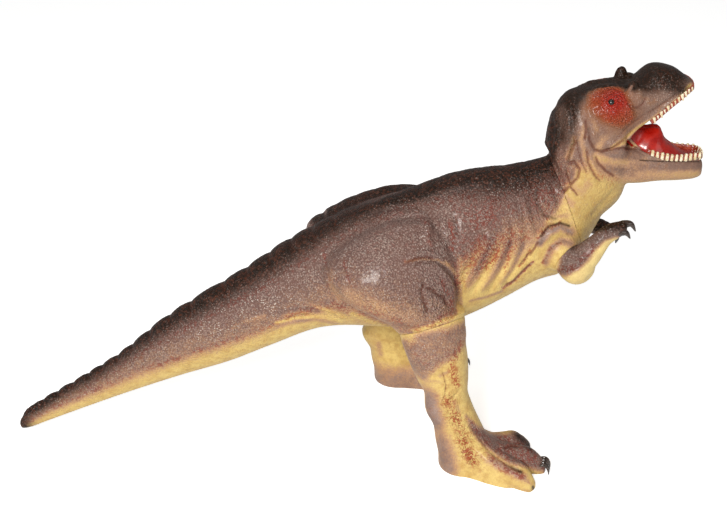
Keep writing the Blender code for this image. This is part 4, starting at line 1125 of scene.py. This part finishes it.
HEAD_DARK = (
    ([(561, 110), (564, 124), (570, 140)], 9.0, 0.60), ([(655, 84), (668, 84), (682, 90)], 8.0, 0.82),
    ([(616, 66), (617, 80), (632, 83)], 7.0, 1.3), ([(566, 98), (582, 88), (600, 83), (618, 82)], 5.0, 0.9),
    ([(598, 128), (610, 134), (624, 128)], 9.0, 0.24), ([(636, 110), (650, 104), (662, 98)], 7.0, 0.12),
    ([(632, 86), (627, 93)], 1.6, 0.15), ([(590.5, 94), (590, 98)], 2.6, 0.1),
    ([(641, 74), (650, 68), (665, 66), (680, 72)], 7.0, 1.0),
    # painted shade along the fold round the mouth's corner and down the throat crack
    ([(588, 128), (589, 140), (594, 149), (602, 151.5)], 1.4, 0.45),
    ([(573, 134), (571, 148), (568, 162)], 1.4, 0.55),
    ([(640, 160.2), (660, 161.4), (699, 161.6)], 0.9, 0.75),
    ([(606, 151), (622, 148.5), (638, 149.5), (652, 154)], 1.1, 0.3),
    # painted shade in the crease under the bulge before the eye
    ([(627, 103), (633, 108), (640, 108)], 2.0, 0.35),
)


def half_widths(points, line):
    """Half width of a skin along a line in the figure's middle plane, evened out over 7 places."""
    found = []
    for q in line:
        beside = (np.abs(points[:, 0] - q[0]) < 0.0025) & (np.abs(points[:, 2] - q[2]) < 0.0025)
        found.append(np.abs(points[beside, 1]).max() if beside.any() else found[-1] * 0.8)
    padded = np.pad(found, 3, mode="edge")
    return np.convolve(padded, np.ones(7) / 7, "valid")


def round_front(name, inset, into):
    """A path along one edge of the mouth, round the front and back along the other edge."""
    line = EDGE[name]
    wide = np.maximum(RIM[name] - inset, 0.001)
    way = np.gradient(line, axis=0)
    way /= np.linalg.norm(way, axis=1)[:, None]
    inward = np.stack([way[:, 2], 0 * way[:, 0], -way[:, 0]], 1) * (1 if name == "upper" else -1)
    middle = line + inward * np.asarray(into).reshape(-1, 1)
    right, left = middle + np.outer(-wide, Y), middle + np.outer(wide, Y)
    bend = [right[-1] * [1, k, 1] + X * 0.0022 * (1 - k * k) for k in (0.75, 0.35, -0.35, -0.75)]
    return np.vstack([right, bend, left[::-1]])


# The edges of the mouth in the middle plane, from its corner to the front
EDGE = {"upper": np.array([mouth_at(*r) for r in smoothed([(0, 0), *PALATE[:4], (0.725, 1.44)], 6)]),
        "lower": np.array([mouth_at(*r) for r in smoothed([(0, 0), *FLOOR_OF_MOUTH[:3], (0.960, -0.82)], 6)])}
RIM = {}  # half width of the head along each edge, measured in head_form


def head_form():
    """The head's skin, with open jaws, lips, horns and folds."""
    rings = neck_collars(-0.006, 0.003)
    for forward, up, tall, wide, lean, square in smoothed(SKULL_ROWS, 5):
        place = SKULL + [forward * HEAD_L, 0, up * HEAD_H]
        rings.append(leaning(place, wide * HEAD_W, tall * HEAD_H, lean, square))
    jaw = [leaning(JAW_ROOT + [forward * JAW_L, 0, up * JAW_H], wide * JAW_W, tall * JAW_H, 0, 2.6, 64)
           for forward, up, tall, wide in smoothed(JAW, 5)]
    tubes = [tube(rings), tube(jaw)]
    for hand in (RIGHT, LEFT):
        foot = NECK + HORN * [1, hand, 1]
        for rows, sides, flat in ((HORN_ROWS, 24, 0.8), (BROW_ROWS, 20, 0.9)):
            path = [foot + [forward, 0, up] for forward, up, _ in rows]
            tubes.append(path_tube(path, [half for _, _, half in rows], sides, flat))
    base = one_skin(gathered("head_skin", tubes), 0.00125)
    hole = new_object("mouth_space", *mouth_tube())
    change = base.modifiers.new("mouth", "BOOLEAN")
    change.operation, change.solver, change.object = "DIFFERENCE", "EXACT", hole
    settled(base)
    discard(hole)
    RIM.update({name: half_widths(points_of(base.data), line) for name, line in EDGE.items()})
    lips = [path_tube(round_front("upper", 0.0012, 0.0), 0.0016, 16),
            path_tube(round_front("lower", 0.0014, 0.0003), 0.0017, 16)]
    skin = Skin(one_skin(joined("head_base", [base, gathered("lips", lips)]), 0.00100))
    skin.relax(4)
    uv = seen(skin.P)
    skin.relax(110, near(uv, JAW_SIDE, 7) * step_up(uv[:, 1], 146, 151))
    skin.press(HEAD_STROKES)
    skin.relax(1)
    return skin


def make_head():
    skin = head_form()
    uv, facing = skin.view()
    p, n = skin.P, skin.normals()
    # the eye's patch, swollen, with a ring round the eye
    patch = (within(uv, PATCH, 9) * step_up(facing, 0.1, 0.6) * step_up(np.abs(n[:, 1]), 0.08, 0.34)
             * (np.abs(p[:, 1]) > 0.012))
    eye = np.linalg.norm(uv - EYE_SEEN, axis=1)
    swell = 0.0009 * patch + 0.0009 * hump(eye, 5.5, 2.0) * facing + 0.0005 * hump(eye, 11, 1.8) * facing
    skin.P += n * swell[:, None]
    halo = 0.22 * within(uv, PATCH, 48) * facing * step_up(np.abs(n[:, 1]), 0.35, 0.70)
    skin.mark("patch", np.maximum(patch * (0.55 + 0.45 * spot(uv, 615, 102, 14, 13)), halo))
    dark = within(uv, NAPE, 15 + 12 * step_up(uv[:, 0], 628, 650)) * (1 - patch)
    dark = brushed(uv, dark, HEAD_DARK, facing * (1 - patch))
    far_top = step_up(p[:, 2] - NECK[2], 0.103, 0.109) * step_up(p[:, 1], 0.006, 0.014) * (1 - patch)
    skin.paint("dark", np.maximum(dark, 0.9 * far_top))
    throat = past(uv, THROAT_EDGE)
    hind = 1 - step_up(uv[:, 0], 605, 645)
    ochre = np.maximum(throat * (0.55 + 0.45 * hind), step_up(-n[:, 2], 0.55, 0.9) * (p[:, 2] < 0.30))
    skin.paint("ochre", brushed(uv, np.maximum(ochre, 0.12), HEAD_OCHRE, facing) * (1 - patch))
    seam = at_neck(p) * (1 - throat)
    skin.paint("red", hump(throat, 0.6, 0.35) * 0.45 * hind + 0.06 + 0.6 * seam)
    # shine: more clear coat, and painted highlights on the snout, down the neck and on the eye patch
    shine = spot(uv, 667, 90, 15, 14) + 0.5 * spot(uv, 571, 118, 8, 16)
    skin.paint("gloss", 0.25 + 0.75 * shine + 0.15 * patch)
    skin.paint("pebble", 0.28 + 0.7 * patch + 0.6 * seam + 0.3 * shine)
    made = raised(skin, SMOOTH, size=0.0030, height=0.0006)
    cut_clean(made, NECK, -NECK_AXIS)
    return made


def make_lining():
    """The red lining of the mouth in one piece with the tongue."""
    rows = smoothed(LINING, 6)
    places = np.array([mouth_at(r[0], r[1]) for r in rows])
    across = np.linspace(-1, 1, 41)
    tongue = (1 - across ** 2) ** 0.75 * (1 - 0.10 * hump(across, -0.12, 0.09))
    rim_up, rim_low = [np.interp(places[:, 0], EDGE[k][:, 0], RIM[k]) for k in ("upper", "lower")]
    rings = []
    for i, row in enumerate(rows):
        way = unit(places[min(i + 1, len(places) - 1)] - places[max(i - 1, 0)])
        into = np.array([way[2], 0, -way[0]])
        half = ((rim_up[i] if row[1] > 0 else rim_low[i]) - 0.0008) * min(0.90 + 0.30 * abs(row[0]), 1)
        tall = row[3] * TONGUE_TALL
        front = [places[i] - into * (tall * h + 0.0009) + Y * half * w for w, h in zip(across, tongue)]
        back = [places[i] + into * LINING_THICK + Y * half * 0.88 * w for w in across[::-1]]
        rings.append(np.array(front + back))
    made = new_object("mouth_lining_looks", *tube(rings))
    soft = made.modifiers.new("soft", "SUBSURF")
    soft.levels = soft.render_levels = 1
    return settled(made)


def row_of(name, points, **values):
    """A row of teeth along a path."""
    mesh = bpy.data.meshes.new(name)
    mesh.from_pydata([tuple(p) for p in points], [(i, i + 1) for i in range(len(points) - 1)], [])
    return grown(placed(name, mesh), ROW, Material=IVORY, **values)


TOOTH_ROWS = (  # edge, how far in and how far from the lip, where it starts in the picture, gum height, teeth
    ("upper", 0.0042, 0.0010, 654, 0.0040, dict(Count=31, Direction=(0.30, 0, -0.95), Width=0.0028,
                                                Length=0.0058, Taper=0.45, Variation=0.40, Seed=4)),
    ("lower", 0.0028, 0.0014, 650, 0.0038, dict(Count=26, Direction=(0.05, 0, 1), Width=0.0034,
                                                Length=0.0076, Taper=0.80, Variation=0.08, Seed=9)),
)


def make_teeth():
    rows, bands = [], []
    for name, into, inset, start, tall, values in TOOTH_ROWS:
        path = round_front(name, inset, into)
        place = seen(path * [1, 0, 1] - Y * np.abs(path[:, 1:2]))[:, 0]
        rows.append(row_of(name, path[place > start], **values))
        inner = round_front(name, inset + 0.0009, into * 0.75)[place > start - 3]
        bands.append(path_tube(inner, GUM_HALF, 16, tall / GUM_HALF))
    return joined("teeth_looks", rows), gathered("gum_bands", bands)


# Legs
# Height of the lowest point of the seam under the thigh
SHIN_TOP = LEG[2] - LEG_R * math.sqrt(1 - leg_joint(RIGHT)[1][2] ** 2)


def toe_frame(toe):
    """Root of a toe of the right foot, its run to the tip, and the direction across it."""
    x, y, root_x, root_y = toe
    run = np.array([x, y, 0]) * FOOT
    return HEEL + np.array([root_x, root_y, 0]) * FOOT, run, unit(np.cross(Z, run))


def leg_skin():
    centre, _ = leg_joint(RIGHT)
    rings = leg_collars(RIGHT, (-0.004, 1.0), (0.003, 1.0))
    for height, forward, outward, deep, wide in smoothed(SHANK, 4):
        place = np.array([centre[0] + forward * FOOT, centre[1] - outward * SPLAY, height * SHIN_TOP])
        rings.append(ring(place, X * deep * LEG_R, Y * wide * LEG_R, 56, 2.2))
    instep = [ring(HEEL + [forward * FOOT, -outward * FOOT, 0], Y * wide * FOOT, Z * high * FOOT, 48, 2.3)
              for forward, outward, wide, high in smoothed(INSTEP, 4)]
    tubes = [tube(rings), tube(instep)]
    for toe in TOES:
        root, run, way = toe_frame(toe)
        tubes.append(tube([ring(root + run * a + Z * m * TOE, way * w * TOE, Z * h * TOE, 40, 2.2)
                           for a, w, h, m in smoothed(TOE_ROWS, 4)]))
    return Skin(one_skin(gathered("leg_skin", tubes), 0.00120))


LEG_STROKES = [
    ([(441, 368.3), (443.7, 376.3), (446.1, 385.7), (444.4, 396.4), (439.7, 405.1)], 0.9, -1.2),
    ([(461, 389), (452, 397.7), (448.4, 400.4)], 0.9, -0.8),
    ([(430, 375.5), (440, 377), (450, 374)], 1.8, -0.8),
    # calf and heel swells
    ([(410, 344), (416, 360), (424, 370)], 7.0, 2.0),
    ([(430, 408), (434, 416)], 5.0, 1.6),
    ([(443, 452), (446, 462)], 5.0, 1.4),
    ([(436, 427), (440, 440)], 4.0, -1.4),
    ([(462, 326), (466, 338)], 5.0, 1.4),
    # groove between the toes
    ([(466.5, 420.5), (478.5, 433.9), (489.2, 449), (500, 458), (512, 467), (524, 472)], 2.2, -2.2),
    ([(489, 436), (500, 446), (508, 455)], 3.5, 1.6),
    ([(470, 444), (488, 460), (508, 472), (524, 482)], 4.0, 1.0),
    ([(502, 449), (512, 445), (521, 446)], 1.6, -1.6),
    # scales down the shin
    *(([(445 + 1.7 * k + s, 403 + 4.1 * k), (448.5 + 1.7 * k + s, 404.5 + 4.1 * k)], 1.7, 0.9)
      for k in range(14) for s in (-4, 2)),
    *(([(442 + 1.7 * k, 405 + 4.1 * k), (453 + 1.7 * k, 406.5 + 4.1 * k)], 1.2, -0.5) for k in range(14)),
    # joints of the toes
    ([(520, 466), (516, 474), (514, 482)], 2.6, -0.7),
    ([(531, 452), (536, 460), (538, 470)], 2.0, -0.8),
]


LEG_BROWN = (
    ([(427, 382), (435, 381), (443, 383)], 2.2, 0.4),
    ([(424, 388), (432, 404), (438, 425), (440, 438), (446, 456)], 7.0, 0.45),
    ([(428, 400), (430, 411), (434, 422)], 11.0, 1.25), ([(441, 446), (444, 457), (448, 469)], 12.0, 1.15),
    ([(404, 345), (412, 366), (424, 376)], 5.0, 1.0), ([(440, 376), (448, 372)], 2.5, 0.6),
    ([(455, 402), (459, 412)], 3.0, 0.5), ([(441, 474), (446, 478)], 3.0, 0.7),
    ([(470, 420), (478, 430)], 3.5, 0.6), ([(508, 484), (520, 489), (532, 492)], 3.5, 0.25, 0.45),
    ([(480, 456), (490, 464), (500, 470)], 4.0, 0.45),
)
LEG_DARK = (
    ([(498, 461), (510, 467), (521, 472)], 2.4, 0.25, 0.75),
    ([(533, 487), (535, 492), (533, 495)], 1.6, 0.8), ([(476, 430), (490, 447), (503, 459)], 1.5, 0.35),
    ([(519, 435), (528, 441), (535, 451)], 3.6, 0.85), ([(534, 452), (542, 458), (546, 466)], 2.0, 0.35),
)


# Outlines of the paint on the right leg, and the line down its shin
CALF = ((399, 340), (417, 333), (444, 328), (465, 321), (470, 329), (467, 341), (461, 350), (456, 358),
        (444, 364), (433, 373), (421, 377), (411, 369), (402, 352))
UNDER_KNEE = ((399, 336), (413, 332), (416, 342), (404, 348))
INSTEP_TOP = ((466, 416), (478, 426), (492, 433), (507, 434), (519, 431), (530, 443), (545, 456),
              (553, 476), (541, 472), (526, 467), (510, 464), (497, 455), (484, 446), (473, 433))
NEAR_TOE = ((486, 452), (498, 458), (512, 467), (526, 474), (531, 484), (518, 480), (500, 471), (488, 463))
TOE_SHADE = ((506, 430), (520, 429), (531, 437), (538, 450), (528, 452), (516, 442))
SHIN = ((449, 402), (455, 418), (461, 436), (467, 452), (472, 460))


def make_leg():
    """The right leg. Its inner side is painted as the left leg's is seen behind it."""
    skin = leg_skin()
    skin.relax(5)
    skin.press(LEG_STROKES)
    skin.relax(1)
    skin.P[:, 2] = np.maximum(skin.P[:, 2], 0.0)
    uv, facing = skin.view()
    p, n = skin.P, skin.normals()
    calf = within(uv, CALF, 14)
    tan = within(uv, UNDER_KNEE, 7)
    brown = brushed(uv, calf * (1 - 0.5 * tan), LEG_BROWN, np.minimum(facing * 5 + 0.3, 1))
    instep, toe = within(uv, INSTEP_TOP, 11), within(uv, NEAR_TOE, 11)
    brown = np.maximum(np.maximum.reduce([brown * 0.66, instep * 0.88, toe * 0.66]), 0.10)
    behind = seen(set_back(p * [1, -1, 1]), mirrored=False)
    foot_side = step_up(uv[:, 0], 456, 470) * step_up(uv[:, 1], 405, 420) * (1 - step_up(n[:, 1], 0.30, 0.65))
    inner = step_up(n[:, 1], -0.35, 0.15) * (1 - foot_side)
    low = 0.04 + 0.64 * step_up(behind[:, 1], 352, 380) + 0.14 * hump(behind[:, 0], 372, 7)
    low = low + 0.40 * near(behind, ((379, 344), (381, 354)), 3.4) - 0.25 * spot(behind, 395, 352, 10, 14)
    brown = brown + (low - brown) * inner
    skin.mark("ochre", np.clip(0.96 - brown, 0.05, 1))
    skin.paint("dark", brushed(uv, within(uv, TOE_SHADE, 8) * 0.45, LEG_DARK, facing) * (1 - inner))
    band = near(uv, SHIN, 9)
    red = np.maximum.reduce([band, calf * 0.45, 0.35 * near(uv, SHIN, 22), instep * 0.9, toe,
                             near(uv, ((462, 342), (452, 364), (456, 384)), 6) * 0.9])
    skin.paint("red", red * facing * (1 - inner) + 0.06)
    # gloss: more clear coat, and painted highlights, on the calf and instep
    skin.mark("gloss", calf * 0.5 * (1 - inner) + instep * 0.3)
    skin.paint("pebble", 0.18 + (band * 0.8 + instep * 0.6 + calf * 0.5) * (1 - inner))
    made = raised(skin, SKIN, size=0.0036, height=0.0007)
    for v in made.data.vertices:
        v.co.z = max(v.co.z, 0.0)
    centre, axis = leg_joint(RIGHT)
    cut_clean(made, centre, -axis)
    return made


def twin(made, name, move):
    """The left piece: the right one's mirror image, moved to its own pose."""
    mesh = made.data.copy()
    mesh.name = name
    mesh.flip_normals()
    set_points(mesh, move(points_of(mesh) * [1, -1, 1]))
    return placed(name, mesh)


def set_back(p):
    """The left leg stands further back, more so below the calf."""
    lower = np.clip((SHANK[0][0] - p[:, 2] / SHIN_TOP) / 0.50, 0, 1)
    return p - np.stack([SETBACK[LEFT] + lower * CALF_BACK, 0 * lower, 0 * lower], 1)


# Arms
def arm_frame():
    """The right arm's elbow, and the directions along its forearm, to the palm and across the hand."""
    centre, axis = arm_joint(RIGHT)
    run = pointing(51.8, -2.8)
    return centre + axis * ELBOW_OUT, run, unit(run * run[2] - Z), Y


def arm_points(rows):
    elbow, run, palm, across = arm_frame()
    return [elbow + (run * r[0] + palm * r[1] + (across * r[2] if len(r) == 4 else 0)) * FORE_L for r in rows]


UPPER_ARM = ((-0.2, 1.0), (0.3, 0.97), (0.7, 0.74), (0.93, 0.38))  # out from the elbow, half size
ARM_STROKES = (
    ([(585, 262), (578, 268), (566, 272)], 1.4, -0.7), ([(589, 240), (594, 246), (600, 250)], 1.6, -0.6),
    ([(604, 226), (606, 232), (606, 238)], 1.6, -0.7), ([(613, 224), (614, 230)], 1.4, -0.7),
    ([(563, 250), (570, 262), (573, 272)], 2.4, -0.7),
)
ARM_BROWN = ((557, 274), (560, 258), (568, 242), (580, 228), (602, 216), (625, 212), (643, 226), (636, 241),
             (616, 237), (605, 241), (595, 250), (588, 261), (578, 270), (566, 276))


def make_arm():
    """The right arm's skin, and its claws."""
    centre, axis = arm_joint(RIGHT)
    elbow = centre + axis * ELBOW_OUT
    side, up = square_to(axis)
    rings = [ring(centre + axis * t, side * ARM_R, up * ARM_R, 40) for t in (-0.003, 0.002)]
    for t, half in smoothed(UPPER_ARM, 4):
        rings.append(ring(elbow + axis * ELBOW_R * t, side * ELBOW_R * half, up * ELBOW_R * half, 40))
    rows = smoothed(FOREARM, 4)
    tubes = [tube(rings), path_tube(arm_points(rows), rows[:, 2] * FORE_R, 32)]
    for claw in CLAWS:
        finger = smoothed(claw, 4)[:5]
        tubes.append(path_tube(arm_points(finger), finger[:, 3] * FORE_R))
    skin = Skin(one_skin(gathered("arm_skin", tubes), 0.00085))
    skin.relax(8)
    skin.press(ARM_STROKES)
    skin.relax(1)
    uv, _ = skin.view()
    brown = within(uv, ARM_BROWN, 11 - 4 * step_up(uv[:, 0], 590, 610))
    skin.paint("ochre", 1 - brown)
    hand = near(uv, ((603, 224), (614, 225), (626, 225)), 6)
    top = near(uv, ((560, 244), (572, 246), (590, 232), (604, 224)), 4)
    skin.paint("dark", hand * 0.60 + top * 0.35 + 0.38 * brown)
    skin.paint("red", brown * 0.5 + near(uv, ((560, 270), (574, 268), (588, 254), (598, 244)), 3) * 0.8)
    # gloss: more clear coat, and painted highlights, on the brown of the arm
    skin.mark("gloss", brown * 0.6)
    skin.paint("pebble", 0.25 + brown * 0.3)
    made = raised(skin, PALER, size=0.0028, height=0.0004)
    cut_clean(made, centre, -axis)
    claws = []
    for k, claw in enumerate(CLAWS):
        rows = smoothed(claw, 6)[5:]
        claws.append(new_object(f"claw_{k}", *path_tube(arm_points(rows), rows[:, 3] * FORE_R * 0.98)))
    return made, joined("hand_claws", claws)


def swivelled(p):
    """The left arm hangs lower by a turn on its own shoulder."""
    centre, axis = arm_joint(LEFT)
    turn = np.array(Matrix.Rotation(math.radians(ARM_HANGS), 3, Vector(axis)))
    return (p - centre) @ turn.T + centre


# Place across the toe, and half size
TOE_CLAWS = ((-0.0072, 0.0014), (-0.0026, 0.0016), (0.0020, 0.0016), (0.0066, 0.0014))


def toe_claws():
    """Slim claws in a row on the right foot's middle toe."""
    root, run, way = toe_frame(TOES[1])
    claws = []
    for spread, size in TOE_CLAWS:
        points = [root + way * spread + run * a + Z * h
                  for a, h in ((0.88, 0.0110), (0.945, 0.0115), (0.99, 0.0075), (1.005, 0.0015))]
        sizes = smoothed([[size], [size], [size * 0.75], [0.0005]], 4)[:, 0]
        claws.append(new_object(f"toe_claw_{spread}", *path_tube(smoothed(points, 4), sizes, 16)))
    return joined("toe_claws", claws)


finish_piece(make_trunk(), "trunk", "trunk_shell", SKIN)
finish_piece(make_head(), "head", "head_shell", SMOOTH)
finish_piece(make_lining(), "head", "mouth_lining", MOUTH_RED)
teeth, gum = make_teeth()
finish_piece(teeth, "head", None, IVORY)
finish_piece(gum, "head", None, GUM)
for hand, word in ((RIGHT, "right"), (LEFT, "left")):
    eye = new_object(f"{word}_eye_looks", *ball(NECK + EYE * [1, hand, 1], EYE_R))
    finish_piece(eye, "head", f"{word}_eye", BEAD)
leg = make_leg()
claws = toe_claws()
arm, nails = make_arm()
for made, move, word, paint in ((leg, set_back, "leg", SKIN), (arm, swivelled, "arm", PALER)):
    other = twin(made, f"left_{word}_skin", move)
    finish_piece(made, f"right_{word}", f"right_{word}_shell", paint)
    finish_piece(other, f"left_{word}", f"left_{word}_shell", paint)
for made, move, word in ((claws, set_back, "leg"), (nails, swivelled, "arm")):
    other = twin(made, f"left_{word}_claws", move)
    made.name = f"right_{word}_claws"
    finish_piece(made, f"right_{word}", None, CLAW)
    finish_piece(other, f"left_{word}", None, CLAW)
for name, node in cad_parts.items():
    finish = FIBRE if "stuffing" in name else PLUG if ("plug" in name or "washer" in name) else None
    if finish:
        node.data.materials.clear()
        node.data.materials.append(finish)

# Camera, light and floor
SENSOR = 36.0
LAMPS = (  # name, place, target, size, watts, colour
    ("key", (-0.50, -1.45, 1.15), (0.0, 0, 0.15), 0.50, 30.5, (1.0, 0.975, 0.94)),
    ("fill", (1.2, -1.1, 0.7), (0.1, 0, 0.2), 0.8, 2.5, (1.0, 0.985, 0.96)),
    ("top", (-0.1, 0.2, 1.7), (0.0, 0, 0.2), 0.5, 3, (1, 1, 1)),
)
WHITE = (1, 1, 1, 1)
GLOW, FLOOR_LIFT = 0.26, 0.66  # light from all round, and how much of itself the floor shows the camera

lens = bpy.data.cameras.new("photo_camera")
lens.sensor_width, lens.lens = SENSOR, FOCAL / WIDE_PX * SENSOR
lens.clip_start, lens.clip_end = 0.05, 20.0
camera = placed("photo_camera", lens)
axes = np.stack([CAM_RIGHT, CAM_UP, CAM_BACK], 1)
camera.matrix_world = Matrix([[*row, place] for row, place in zip(axes, CAM)] + [[0, 0, 0, 1]])
bpy.context.scene.camera = camera
bpy.context.scene.view_settings.view_transform = "Standard"
for name, place, target, size, power, tone in LAMPS:
    data = bpy.data.lights.new(name, "AREA")
    data.shape, data.size, data.energy, data.color = "DISK", size, power, tone
    lamp = placed(name, data)
    lamp.location = place
    lamp.rotation_euler = (Vector(target) - Vector(place)).to_track_quat("-Z", "Y").to_euler()

world = bpy.data.worlds.new("studio")
bpy.context.scene.world = world
world.use_nodes = True
world.node_tree.nodes.clear()
w = Tree(world.node_tree)
glow = w.add("ShaderNodeBackground", Color=WHITE, Strength=GLOW)
white = w.add("ShaderNodeBackground", Color=WHITE, Strength=1.0)
to_camera = w.wire(w.add("ShaderNodeLightPath"), "Is Camera Ray")
w.add("ShaderNodeOutputWorld", Surface=w.add("ShaderNodeMixShader", i0=to_camera, i1=glow, i2=white))

floor = new_object("floor", [(-4, -3, 0), (4, -3, 0), (4, 6, 0), (-4, 6, 0)], [[0, 1, 2, 3]])
floor.location.z = -0.0002
paper, t, shader, end = material("floor_paper")
cloud = t.noise(t.add("ShaderNodeTexCoord").outputs["Object"], 3.0)
t.join(shader, Base_Color=t.mix((0.93, 0.93, 0.92), (cloud, (0.95, 0.95, 0.945))), Roughness=0.9)
to_camera = t.wire(t.add("ShaderNodeLightPath"), "Is Camera Ray")
lift = t.add("ShaderNodeEmission", Color=WHITE, Strength=to_camera * FLOOR_LIFT)
t.join(end, Surface=t.add("ShaderNodeAddShader", i0=shader, i1=lift))
floor.data.materials.append(paper)
